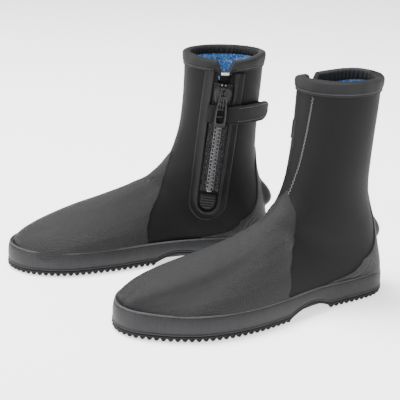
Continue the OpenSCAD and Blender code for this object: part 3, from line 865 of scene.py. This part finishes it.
def zip_gusset(side, finish):
    tt, ss = np.meshgrid(np.linspace(0.7, 7.6, 40), zip_s + np.linspace(-0.12, 0.12, 24),
                         indexing="ij")
    crease = 0.3 * np.sin(tt * 9.0) * np.sin((ss - zip_s) * 40.0)
    skin("zip_gusset_flap", side, upper(tt, ss, 5.0), upper(tt, ss, 6.2 + crease), finish,
         "neoprene", "boot", ("zip_gusset",))


def zip_welt(side, finish):
    inner_a, inner_c = arch_path(10.6, -20.6, 137.0, 110)
    outer_a, outer_c = arch_path(21.6, -31.0, 137.0, 110)
    w = np.linspace(0, 1, 25)[:, None]
    t, s = find_place(inner_a + (outer_a - inner_a) * w, inner_c + (outer_c - inner_c) * w)
    height = np.interp(
        w, [0, 0.03, 0.1, 0.2, 0.3, 0.55, 0.72, 0.84, 0.93, 1],
        [0.3, 1.5, 2.5, 2.5, 1.6, 1.3, 1.7, 2.2, 1.3, 0.1])
    soft = height + 0 * t
    skin("zip_welt_band", side, upper(t, s, -soft), upper(t, s, np.full(t.shape, 0.1)), finish,
         "neoprene", "boot", ("zip_welt",))


gusset_finish = knitted_neoprene("gusset_neoprene", (0.005, 0.005, 0.0055), (0.012, 0.012, 0.013),
                                 0.6)
welt_finish = rubber("welt_rubber", (0.005, 0.005, 0.0055), (0.013, 0.013, 0.014), 0.36, 1500.0)
for side in ("left", "right"):
    zip_gusset(side, gusset_finish)
    zip_welt(side, welt_finish)

# ---- Zip tape, teeth and stops ----
# Two strips of woven tape carry one row of moulded teeth each on a corded edge. Metal
# stops close the chain at its foot and end the slider's run at the top.


def tape_cloth():
    """Herringbone zip tape with pale flecks in the weave."""
    finish = Finish("zip_tape")
    place = finish.cloth_place()
    u, v = finish.part(place, 0), finish.part(place, 1)
    weave = ((u + v * 0.6) * 7400.0).wave() * ((u - v * 0.6) * 7400.0).wave()
    speck = finish.noise(finish.body_place(), 900.0, 3.0).rise(0.5, 0.62)
    return finish.dress(
        Base_Color=finish.mix(speck * 0.6 + weave * 0.15, (0.009, 0.009, 0.0095),
                              (0.13, 0.13, 0.135)),
        Roughness=0.75 + 0.1 * weave,
        Normal=finish.bump(weave + speck, 0.00022),
        Specular_IOR_Level=0.2,
    )


def tape_strip(side, turn, finish):
    a = np.linspace(2.6, 10.4, 12)
    c = np.linspace(3.2, 124.2, 90)
    aa, cc = np.meshgrid(a, c)
    wavy = 0.12 * np.sin(cc * 0.31 + aa) * np.sin(aa * 0.5)
    outer = on_zip(np.stack([turn * aa, 0.35 + wavy, cc], -1))
    inner = on_zip(np.stack([turn * aa, -0.35 + wavy, cc], -1))
    name = "zip_tape_heel_side" if turn > 0 else "zip_tape_toe_side"
    skin(name, side, outer, inner, finish, "zip_tape", "boot",
         ("zip_tape",) if turn > 0 else ())


def pebble(outline, levels):
    """A small moulded block: one outline at several heights, drawn in at its ends."""
    middle = outline.mean(0)
    return [np.stack([middle[0] + (outline[:, 0] - middle[0]) * k, np.full(len(outline), b),
                      middle[1] + (outline[:, 1] - middle[1]) * k], -1) for b, k in levels]


def tube(path, radius, sides=10, closed=False):
    """A round cord along a path of points."""
    path = np.asarray(path, float)
    if closed:
        ahead = np.roll(path, -1, 0) - np.roll(path, 1, 0)
    else:
        ahead = np.gradient(path, axis=0)
    ahead /= np.linalg.norm(ahead, axis=1, keepdims=True)
    side_way = np.cross(ahead, [0.31, 0.87, 0.38])
    side_way /= np.linalg.norm(side_way, axis=1, keepdims=True)
    other = np.cross(ahead, side_way)
    angle = np.linspace(0, 2 * np.pi, sides + 1)[:-1]
    radius = np.broadcast_to(radius, len(path))
    rings = [p + r * (np.cos(angle)[:, None] * x + np.sin(angle)[:, None] * y)
             for p, r, x, y in zip(path, radius, side_way, other)]
    if closed:
        return loft(rings + rings[:1], capped=False)
    return loft(rings)


tooth_pitch = 4.2


def teeth(side, turn, name, node, shift, finish):
    outline = np.array([[-3.5, -0.7], [-3.5, 0.7], [-1.7, 1.0], [0.2, 0.75], [1.0, 1.1],
                        [1.6, 0.5], [1.6, -0.5], [1.0, -1.1], [0.2, -0.75], [-1.7, -1.0]])
    outline = outline * [-turn, 1]
    levels = [(-1.15, 0.72), (-0.9, 1.0), (0.9, 1.0), (1.25, 0.86), (1.4, 0.5)]
    parts = []
    for c in np.arange(6.0 + shift, 112.5, tooth_pitch):
        parts.append(loft(pebble(outline + [0, c], levels)))
    cord = np.stack([np.full(60, turn * 3.6), np.zeros(60), np.linspace(4.6, 113, 60)], -1)
    parts.append(tube(cord, 0.6, 8))
    points, faces = gather(parts)
    make_piece(name, side, on_zip(points), faces, finish, "zip_teeth", "boot", (node,))


def rounded_box(half, c0, c1, power, count):
    """A box outline with round corners, from c0 to c1 along the zip."""
    angle = np.linspace(0, 2 * np.pi, count + 1)[:-1]
    x, y = np.cos(angle), np.sin(angle)
    return np.stack([np.sign(x) * np.abs(x) ** power * half,
                     (c0 + c1) / 2 + np.sign(y) * np.abs(y) ** power * (c1 - c0) / 2], -1)


def stop_block(name, side, width, c0, c1, b, finish, node, shifts):
    """Cast stops: round-cornered blocks closed over the tape's edge."""
    box = rounded_box(width / 2, c0, c1, 0.35, 24)
    levels = [(-b, 0.8), (-b + 0.25, 1.0), (b - 0.35, 1.0), (b - 0.05, 0.86), (b + 0.1, 0.5)]
    parts = [loft(pebble(box + [x, 0], levels)) for x in shifts]
    points, faces = gather(parts)
    make_piece(name, side, on_zip(points), faces, finish, "zip_metal", "boot", (node,))


def metal(name, dark, pale, rough):
    """Cast metal with a worn, faintly scratched plating."""
    finish = Finish(name)
    place = finish.body_place()
    scratch = finish.noise(finish.stretch(place, 1.0, 1.0, 0.2), 1800.0, 4.0)
    cloud = finish.noise(place, 260.0, 3.0)
    return finish.dress(
        Base_Color=finish.mix(cloud * 0.6 + scratch * 0.3, dark, pale),
        Roughness=rough + 0.14 * scratch,
        Metallic=0.9,
        Normal=finish.bump(scratch, 0.00005),
    )


tape_finish = tape_cloth()
teeth_finish = rubber("moulded_teeth", (0.1, 0.1, 0.103), (0.17, 0.17, 0.175), 0.3, 1600.0)
stop_finish = metal("stop_metal", (0.1, 0.1, 0.105), (0.3, 0.3, 0.31), 0.3)
for side in ("left", "right"):
    tape_strip(side, 1, tape_finish)
    tape_strip(side, -1, tape_finish)
    teeth(side, -1, "front_teeth", "teeth_front", 0.0, teeth_finish)
    teeth(side, 1, "back_teeth", "teeth_back", tooth_pitch / 2, teeth_finish)
    stop_block("top_stop_pair", side, 1.9, 121.4, 123.8, 1.2, stop_finish, "top_stops",
               (-1.85, 1.85))
    stop_block("foot_stop", side, 5.6, 2.2, 5.1, 1.4, stop_finish, "bottom_stop", (0.0,))

# ---- Garage patch and notch tab ----
# A ribbed rubber patch closes the foot of the zip's window. A small blank woven tab is
# sewn in the notch above the slider.


def garage_patch(side, finish):
    half, foot, head = 9.0, -18.4, -0.4
    a = np.linspace(-1, 1, 41)
    v = fine_ends(60, 18.0)
    aa, vv = np.meshgrid(a, v)
    c = head + (foot - head) * vv
    sink = np.clip((foot + half - c) / half, 0, 1)
    width = half * np.sqrt(np.clip(1 - sink**2, 0.01, 1))
    t, s = find_place(aa * width, c)
    across = np.clip((1 - np.abs(aa)) * width / 1.4, 0, 1)
    ends = np.clip(np.minimum(c - foot, head - c) / 1.2, 0, 1)
    ribs = 0.5 * (0.5 + 0.5 * np.cos(2 * np.pi * (c - head) / 3.0)) * (np.abs(aa) < 0.86)
    height = 0.3 + (1.5 + ribs) * np.sqrt(across * ends)
    skin("garage_patch_ribbed", side, upper(t, s, -height), upper(t, s, np.full(t.shape, 0.1)),
         finish, "moulded_rubber", "boot", ("garage_patch",))


def notch_tab(side, finish):
    tt, ss = np.meshgrid(np.linspace(0.56, 0.65, 9), zip_s + np.linspace(-0.03, 0.03, 13),
                         indexing="ij")
    bow = 0.35 * np.cos((ss - zip_s) * 40.0)
    skin("woven_tab", side, upper(tt, ss, -2.6 - bow), upper(tt, ss, -2.0 - bow), finish,
         "white_label", "boot", ("notch_tab",))


def blank_tab():
    """A plain white woven tab with nothing on it."""
    finish = Finish("blank_tab")
    place = finish.body_place()
    weave = (finish.part(place, 2) * 9000.0).wave() * (finish.part(place, 1) * 9000.0).wave()
    return finish.dress(
        Base_Color=finish.mix(weave * 0.5 + 0.5, (0.5, 0.5, 0.49), (0.75, 0.75, 0.74)),
        Roughness=0.7 + 0.05 * weave,
        Normal=finish.bump(weave, 0.0001),
    )


garage_finish = rubber("garage_rubber", (0.005, 0.005, 0.0055), (0.02, 0.02, 0.021), 0.4, 1200.0)
tab_finish = blank_tab()
for side in ("left", "right"):
    garage_patch(side, garage_finish)
    notch_tab(side, tab_finish)

# ---- Slider, link and puller ----
# A moulded slider runs on the teeth, its two plates joined by a post at the top. A dark
# metal link hangs from the bail and carries a long rubber puller with two rungs across it.


slider_foot, axle_b, axle_c = 104.0, 6.4, 114.5


def slider_body(side, finish):
    outline = np.array([[-5.6, 0], [-3, -0.5], [3, -0.5], [5.6, 0], [6.6, 2.4], [7.2, 6],
                        [7.7, 10], [7.6, 13.2], [6.2, 15.6], [3.4, 17], [-3.4, 17],
                        [-6.2, 15.6], [-7.6, 13.2], [-7.7, 10], [-7.2, 6], [-6.6, 2.4]])
    wrapped = np.concatenate([outline[-1:], outline, outline[:2]])
    smooth = curve(wrapped, 1 + np.linspace(0, len(outline), 65)[:-1])
    smooth = smooth * [1.22, 1] + [0, slider_foot]
    face = [(1.5, 0.93), (1.55, 0.98), (1.9, 1.0), (2.5, 1.0), (2.95, 0.97), (3.25, 0.9),
            (3.35, 0.82), (3.15, 0.76), (3.3, 0.6), (3.55, 0.35), (3.6, 0.1)]
    back = [(-b, k) for b, k in face[:7]] + [(-3.4, 0.4)]
    parts = [loft(pebble(smooth, face)), loft(pebble(smooth, back))]
    for turn in (-1, 1):
        rail = np.array([[5.0, 0.3], [6.4, 0.3], [7.2, 6], [7.6, 10], [7.3, 13.6], [6.2, 13.0],
                         [5.6, 9.0], [5.2, 5.0]]) * [1.2 * turn, 1] + [0, slider_foot]
        for b in (-1.55, 0.6):
            parts.append(loft([np.stack([rail[:, 0], np.full(8, b + k), rail[:, 1]], -1)
                               for k in (0.0, 0.95)]))
    post = np.array([[-0.75, 12.2], [0.75, 12.2], [0.9, 14.5], [0.6, 16.4], [-0.6, 16.4],
                     [-0.9, 14.5]]) + [0, slider_foot]
    parts.append(loft([np.stack([post[:, 0], np.full(6, b), post[:, 1]], -1)
                       for b in (-1.7, 1.7)]))
    for a in (-2.7, 2.7):
        bail = curve([[a, 2.6, 107.4], [a, 4.6, 109.0], [a, 6.6, 112.2], [a, 7.3, 115.2],
                      [a, 6.0, 117.8], [a, 4.0, 119.2], [a, 2.6, 119.8]],
                     np.linspace(0, 6, 31))
        parts.append(tube(bail, 0.72 + 0.2 * np.sin(np.linspace(0, np.pi, 31))))
    parts.append(tube([[a, axle_b, axle_c] for a in (-3.0, -1.5, 1.5, 3.0)], 0.85, 16))
    points, faces = gather(parts)
    make_piece("slider_body", side, on_zip(points), faces, finish, "slider_plastic", "slider",
               ("slider",))


def metal_link(side, finish):
    angle = np.linspace(0, 2 * np.pi, 33)[:-1]
    parts = []
    for a in (-1.45, 1.45):
        eye = np.stack([np.full(32, a), axle_b + 1.52 * np.cos(angle),
                        axle_c + 1.52 * np.sin(angle)], -1)
        parts.append(tube(eye, 0.5, 8, closed=True))
    half = [(1.45, 113.0), (1.5, 109.0), (1.5, 104.0), (1.5, 99.6), (0.8, 98.3)]
    rod = [[-a, axle_b, c] for a, c in half] + [[a, axle_b, c] for a, c in half[::-1]]
    parts.append(tube(curve(rod, np.linspace(0, 9, 55)), 0.5, 10))
    points, faces = gather(parts)
    make_piece("metal_link", side, on_zip(points), faces, finish, "zip_metal", "pull",
               ("pull_link",))


def puller(side, finish):
    outer = rounded_box(6.3, 78.0, 112.0, 0.3, 72)
    window = rounded_box(4.2, 82.5, 109.0, 0.3, 72)
    for ring in (outer, window):
        ring[:, 0] *= 0.66 + 0.34 * np.clip((112 - ring[:, 1]) / 20, 0, 1)
    rim = [(0, 5.9), (0, 7.5), (0.05, 7.95), (0.16, 8.25), (0.3, 8.0), (0.5, 7.75), (0.7, 8.0),
           (0.86, 8.25), (0.96, 7.95), (1, 7.5), (1, 5.9), (0.9, 5.3), (0.1, 5.3)]
    levels = []
    for share, b in rim + rim[:1]:
        flat = outer + (window - outer) * share
        levels.append(np.stack([flat[:, 0], np.full(len(flat), b), flat[:, 1]], -1))
    parts = [loft(levels, capped=False)]
    for c in (89.5, 97.5):
        rung = [[a, 6.9, c] for a in (-4.3, -1.4, 1.4, 4.3)]
        parts.append(tube(rung, 1.0, 12))
    points, faces = gather(parts)
    make_piece("rubber_puller", side, on_zip(points), faces, finish, "slider_plastic", "pull",
               ("puller",))


slider_finish = rubber("slider_enamel", (0.002, 0.002, 0.0022), (0.005, 0.005, 0.0053), 0.3, 700.0,
                       0.35)
link_finish = metal("link_metal", (0.03, 0.03, 0.032), (0.1, 0.1, 0.105), 0.3)
puller_finish = rubber("puller_rubber", (0.004, 0.004, 0.0045), (0.012, 0.012, 0.0125), 0.25,
                       1100.0, 0.45)
for side in ("left", "right"):
    slider_body(side, slider_finish)
    metal_link(side, link_finish)
    puller(side, puller_finish)

# ---- Strap with its hook and loop patches ----
# A webbing strap is sewn in under the welt, crosses the zip behind the puller and closes
# on the heel side with hook and loop. Its edges are piped and its free end is round.
strap_c, strap_half = 91.0, 9.5
strap_z = zip_foot[2] + strap_c * zip_up[2]


def on_strap(u, k, depth):
    """Across the strap at k (-1 to 1), u along its free end, depth under the outer skin."""
    taper = np.sqrt(np.clip(1 - np.clip((u - 0.74) / 0.26, 0, 1) ** 2, 0.02, 1))
    z = strap_z + k * strap_half * taper
    rise = 1.55 * np.clip(1 - u / 0.2, 0, 1) ** 1.5
    return upper((cuff_z - z) / row_drop, -0.512 - 0.413 * u, depth - rise)


def stand_off(u):
    """The free end springs a little away from the boot."""
    return 6.5 * np.clip((u - 0.45) / 0.55, 0, 1) ** 1.6


def strap_line(k, proud):
    """One lengthwise line of the whole strap at k across it, proud mm from its middle."""
    a = np.linspace(-15.5, 10.5, 40)
    sink = 2.4 * np.clip((-9.0 - a) / 6.5, 0, 1) ** 1.5
    fixed = on_zip(np.stack([a, 4.0 + proud - sink, np.full(40, strap_c + strap_half * k)], -1))
    u = np.linspace(0.04, 1.0, 70)
    free = on_strap(u, np.full(70, float(k)), -3.85 - proud - stand_off(u))
    line = np.concatenate([fixed, free])
    for _ in range(3):
        line[30:55] = (line[29:54] + line[30:55] * 2 + line[31:56]) / 4
    return line


def strap(side, finish):
    k = np.array([-1, -0.985, -0.95, -0.9, -0.84, -0.78, -0.6, -0.3, 0, 0.3, 0.6, 0.78, 0.84,
                  0.9, 0.95, 0.985, 1])
    half_t = np.interp(np.abs(k), [0, 0.78, 0.84, 0.9, 0.95, 0.985, 1],
                       [0.85, 0.8, 0.72, 1.15, 1.2, 0.95, 0.4])
    outer = np.stack([strap_line(kk, h) for kk, h in zip(k, half_t)])
    inner = np.stack([strap_line(kk, -min(h, 0.85)) for kk, h in zip(k, half_t)])
    piece = skin("zip_strap", side, outer, inner, finish, "strap_web", None,
                 ("strap_root", "strap_end"))
    seats = [stand(on_zip(np.array([a, 4.0, strap_c])), side) for a in (9.5, 15.0)]
    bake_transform(piece)
    return piece


def grip_patch(name, side, u0, u1, shrink, top, base, finish, body, node, loose=0.0):
    u, k = np.meshgrid(fine_ends(40, 45.0), fine_ends(16, 19.0) * 2 - 1)
    uu, kk = u0 + (u1 - u0) * u, k * (1 - shrink / strap_half)
    off = loose * stand_off(uu)
    skin(name, side, on_strap(uu, kk, top - off), on_strap(uu, kk, base - off), finish,
         "hook_loop", body, (node,))


def webbing(name, dark, pale):
    """Close woven webbing: upright ribs crossed by fine threads."""
    finish = Finish(name)
    place = finish.cloth_place()
    ribs = (finish.part(place, 0) * 6200.0).wave()
    threads = (finish.part(place, 1) * 9500.0).wave()
    fuzz = finish.noise(finish.body_place(), 1300.0, 3.0)
    return finish.dress(
        Base_Color=finish.mix(ribs * threads * 0.3 + fuzz * 0.5 + 0.1, dark, pale),
        Roughness=0.6 + 0.15 * fuzz,
        Normal=finish.bump(ribs * threads + fuzz * 0.5, 0.00025),
        Specular_IOR_Level=0.2,
    )


def hook_loop(name, dark, pale):
    """A bed of tiny nylon hooks or loops."""
    finish = Finish(name)
    place = finish.body_place()
    loops = finish.cells(place, 900.0)
    fuzz = finish.noise(place, 1600.0, 4.0)
    return finish.dress(
        Base_Color=finish.mix(loops * 0.8 + fuzz * 0.2, dark, pale),
        Roughness=0.8 + 0.1 * fuzz,
        Normal=finish.bump(loops + fuzz, 0.0006),
        Specular_IOR_Level=0.15,
    )


strap_finish = webbing("strap_webbing", (0.008, 0.008, 0.0085), (0.026, 0.026, 0.027))
hook_finish = hook_loop("hook_tape", (0.006, 0.006, 0.007), (0.02, 0.02, 0.021))
loop_finish = hook_loop("loop_tape", (0.01, 0.01, 0.011), (0.028, 0.028, 0.03))
for side in ("left", "right"):
    strap(side, strap_finish)
    grip_patch("hook_tape", side, 0.26, 0.93, 1.5, -2.85, -1.95, hook_finish, "strap",
               "hook_patch", loose=1.0)
    grip_patch("loop_tape", side, 0.24, 0.98, 1.0, -1.55, -0.1, loop_finish, "boot",
               "loop_patch")

# ---- Stitching ----
# Rows of lockstitch hold the cuff's binding, the front seam, the heel wrap and the strap.
# Each stitch is a short plump thread lying on the surface.


def thread_row(name, side, line, away, finish, slot, body, pitch=2.6, long=1.9, thick=0.32,
               zigzag=0.0):
    """Stitches along a line of points; away is the outward way at each of them."""
    run = np.concatenate([[0], np.cumsum(np.linalg.norm(np.diff(line, axis=0), axis=1))])
    at = np.arange(pitch / 2, run[-1], pitch)

    def read(values, where):
        return np.stack([np.interp(where, run, values[:, k]) for k in range(3)], -1)

    centre, out = read(line, at), read(away, at)
    ahead = read(line, np.minimum(at + 0.3, run[-1])) - read(line, np.maximum(at - 0.3, 0))
    ahead /= np.linalg.norm(ahead, axis=1, keepdims=True)
    out -= (out * ahead).sum(1, keepdims=True) * ahead
    out /= np.linalg.norm(out, axis=1, keepdims=True)
    across = np.cross(ahead, out)
    if zigzag:
        lean = np.where(np.arange(len(at)) % 2, 1.0, -1.0)[:, None] * zigzag
        ahead = ahead + across * lean
        ahead /= np.linalg.norm(ahead, axis=1, keepdims=True)
        across = np.cross(ahead, out)
    angle = np.linspace(0, 2 * np.pi, 7)[:-1]
    stations = [(-0.5, 0.35, -0.25), (-0.4, 0.8, 0.05), (-0.15, 1.0, 0.2), (0.15, 1.0, 0.2),
                (0.4, 0.8, 0.05), (0.5, 0.35, -0.25)]
    parts = []
    for p, x, y, z in zip(centre, ahead, across, out):
        rings = [p + x * e * long + z * thick * h
                 + thick * r * (np.cos(angle)[:, None] * y + np.sin(angle)[:, None] * z)
                 for e, r, h in stations]
        parts.append(loft(rings))
    points, faces = gather(parts)
    make_piece(name, side, points, faces, finish, slot, body)


def seam(t, s, depth):
    """A line on the upper and its outward way."""
    line = upper(t, s, depth)
    return line, line - upper(t, s, np.asarray(depth) + 1.0)


def spun_thread(name, dark, pale):
    finish = Finish(name)
    place = finish.body_place()
    twist = finish.noise(place, 2600.0, 2.0)
    return finish.dress(
        Base_Color=finish.mix(twist, dark, pale),
        Roughness=0.5 + 0.2 * twist,
        Normal=finish.bump(twist, 0.0001),
    )


dark_thread = spun_thread("dark_thread", (0.06, 0.06, 0.062), (0.18, 0.18, 0.185))
grey_thread = spun_thread("grey_thread", (0.1, 0.1, 0.103), (0.24, 0.24, 0.245))
for side in ("left", "right"):
    # Round the hem of the binding, from one side of the notch to the other.
    s = np.linspace(zip_s + 0.09, zip_s + 1.91, 500)
    line = binding_point(np.full(s.shape, 0.8), np.full(s.shape, -1.15), 0.0, s)
    away = line - binding_point(np.full(s.shape, 0.8), np.zeros(s.shape), 0.0, s)
    thread_row("cuff_stitches", side, line, away, dark_thread, "binding_fabric", "boot",
               pitch=2.8, long=2.0, thick=0.3, zigzag=0.5)
    # The front seam, down the shin from the binding to the vamp cover.
    t = np.linspace(0.56, 4.95, 200)
    s = np.interp(t, [0.6, 1.2, 2.55, 3.7, 4.85], [0.1, 0.085, 0.055, 0.04, 0.03])
    line, away = seam(t, s, np.full(t.shape, -0.1))
    thread_row("front_seam_stitches", side, line, away, grey_thread, "neoprene", "boot",
               pitch=1.9, long=3.0, thick=0.26, zigzag=1.1)
    # Two rows inside the heel wrap's front edges, on both faces of the boot.
    for face in (-1, 1):
        for inset, word in ((0.035, "outer"), (0.06, "inner")):
            v = np.linspace(0.05, 0.84, 160)
            j = face * (1 - inset / flank(v))
            t = wrap_row(j, v)
            line, away = seam(t, 1 + flank(v) * j, np.full(t.shape, -1.25))
            where = "toe" if face < 0 else "zip"
            thread_row(f"heel_wrap_stitches_{where}_{word}", side, line, away, dark_thread,
                       "heel_rubber", "boot", pitch=2.4, long=1.7, thick=0.24)
    # Along both edges of the strap's free end.
    for k, word in ((-0.7, "lower"), (0.7, "upper")):
        u = np.linspace(0.12, 0.9, 120)
        line = on_strap(u, np.full(120, k), -4.7 - stand_off(u))
        away = line - on_strap(u, np.full(120, k), -3.7 - stand_off(u))
        thread_row(f"strap_stitches_{word}", side, line, away, grey_thread, "strap_web",
                   "strap", pitch=2.4, long=1.6, thick=0.24)

# ---- Studio ----
# A pale floor under soft overhead and side light. The camera looks down a little on the
# zip side of one boot and the plain side of the other.


def pale_floor():
    finish = Finish("pale_floor")
    grain = finish.noise(finish.body_place(), 3.0, 2.0)
    return finish.dress(
        Base_Color=finish.mix(grain, (0.88, 0.88, 0.88), (0.92, 0.92, 0.92)),
        Roughness=0.9 + 0.05 * grain,
        Emission_Color=(1.0, 1.0, 1.0),
        Emission_Strength=1.3,
    )


def floor():
    ring = np.linspace(0, 2 * np.pi, 49)[:-1]
    levels = [np.stack([r * np.cos(ring), r * np.sin(ring), 0 * ring - 0.0005], -1)
              for r in (0.2, 1.0, 3.0, 12.0)]
    points, faces = loft(levels, capped=False)
    faces.append(list(range(48)))
    mesh = bpy.data.meshes.new("studio_floor")
    mesh.from_pydata(points.tolist(), [], faces)
    shape = bmesh.new()
    shape.from_mesh(mesh)
    bmesh.ops.recalc_face_normals(shape, faces=shape.faces)
    if sum(f.normal.z for f in shape.faces) < 0:
        bmesh.ops.reverse_faces(shape, faces=shape.faces)
    shape.to_mesh(mesh)
    shape.free()
    mesh.materials.append(pale_floor())
    ground = bpy.data.objects.new("studio_floor", mesh)
    bpy.context.scene.collection.objects.link(ground)


def soft_light(name, place, size, power):
    data = bpy.data.lights.new(name, "AREA")
    data.shape = "DISK"
    data.size = size
    data.energy = power
    lamp = bpy.data.objects.new(name, data)
    lamp.location = place
    look = Vector((0.0, 0.0, 0.1)) - Vector(place)
    lamp.rotation_euler = look.to_track_quat("-Z", "Y").to_euler()
    bpy.context.scene.collection.objects.link(lamp)


floor()
soft_light("overhead", (-0.5, -0.4, 2.2), 1.1, 150.0)
soft_light("toe_side", (0.4, -2.3, 1.2), 1.3, 30.0)
soft_light("heel_side", (1.6, 2.0, 1.3), 1.5, 25.0)
sky = bpy.data.worlds.new("studio")
sky.use_nodes = True
sky.node_tree.nodes["Background"].inputs["Color"].default_value = (1.0, 1.0, 1.0, 1.0)
sky.node_tree.nodes["Background"].inputs["Strength"].default_value = 0.7
bpy.context.scene.world = sky

turn, lift, roll = math.radians(66.567), math.radians(18.495), math.radians(1.68)
back = Vector((math.sin(turn) * math.cos(lift), -math.cos(turn) * math.cos(lift),
               math.sin(lift)))
right = Vector((math.cos(turn), math.sin(turn), 0.0))
above = back.cross(right)
right, above = (right * math.cos(roll) + above * math.sin(roll),
                above * math.cos(roll) - right * math.sin(roll))
lens = bpy.data.cameras.new("camera")
lens.sensor_width = 36.0
lens.lens = 90.81
lens.clip_end = 50.0
camera = bpy.data.objects.new("camera", lens)
eye = Vector((0.0, 0.0, 0.11)) + back * 1.0561 + right * 0.00337 - above * 0.02184
camera.matrix_world = Matrix((right, above, back)).transposed().to_4x4()
camera.location = eye
bpy.context.scene.collection.objects.link(camera)
bpy.context.scene.camera = camera
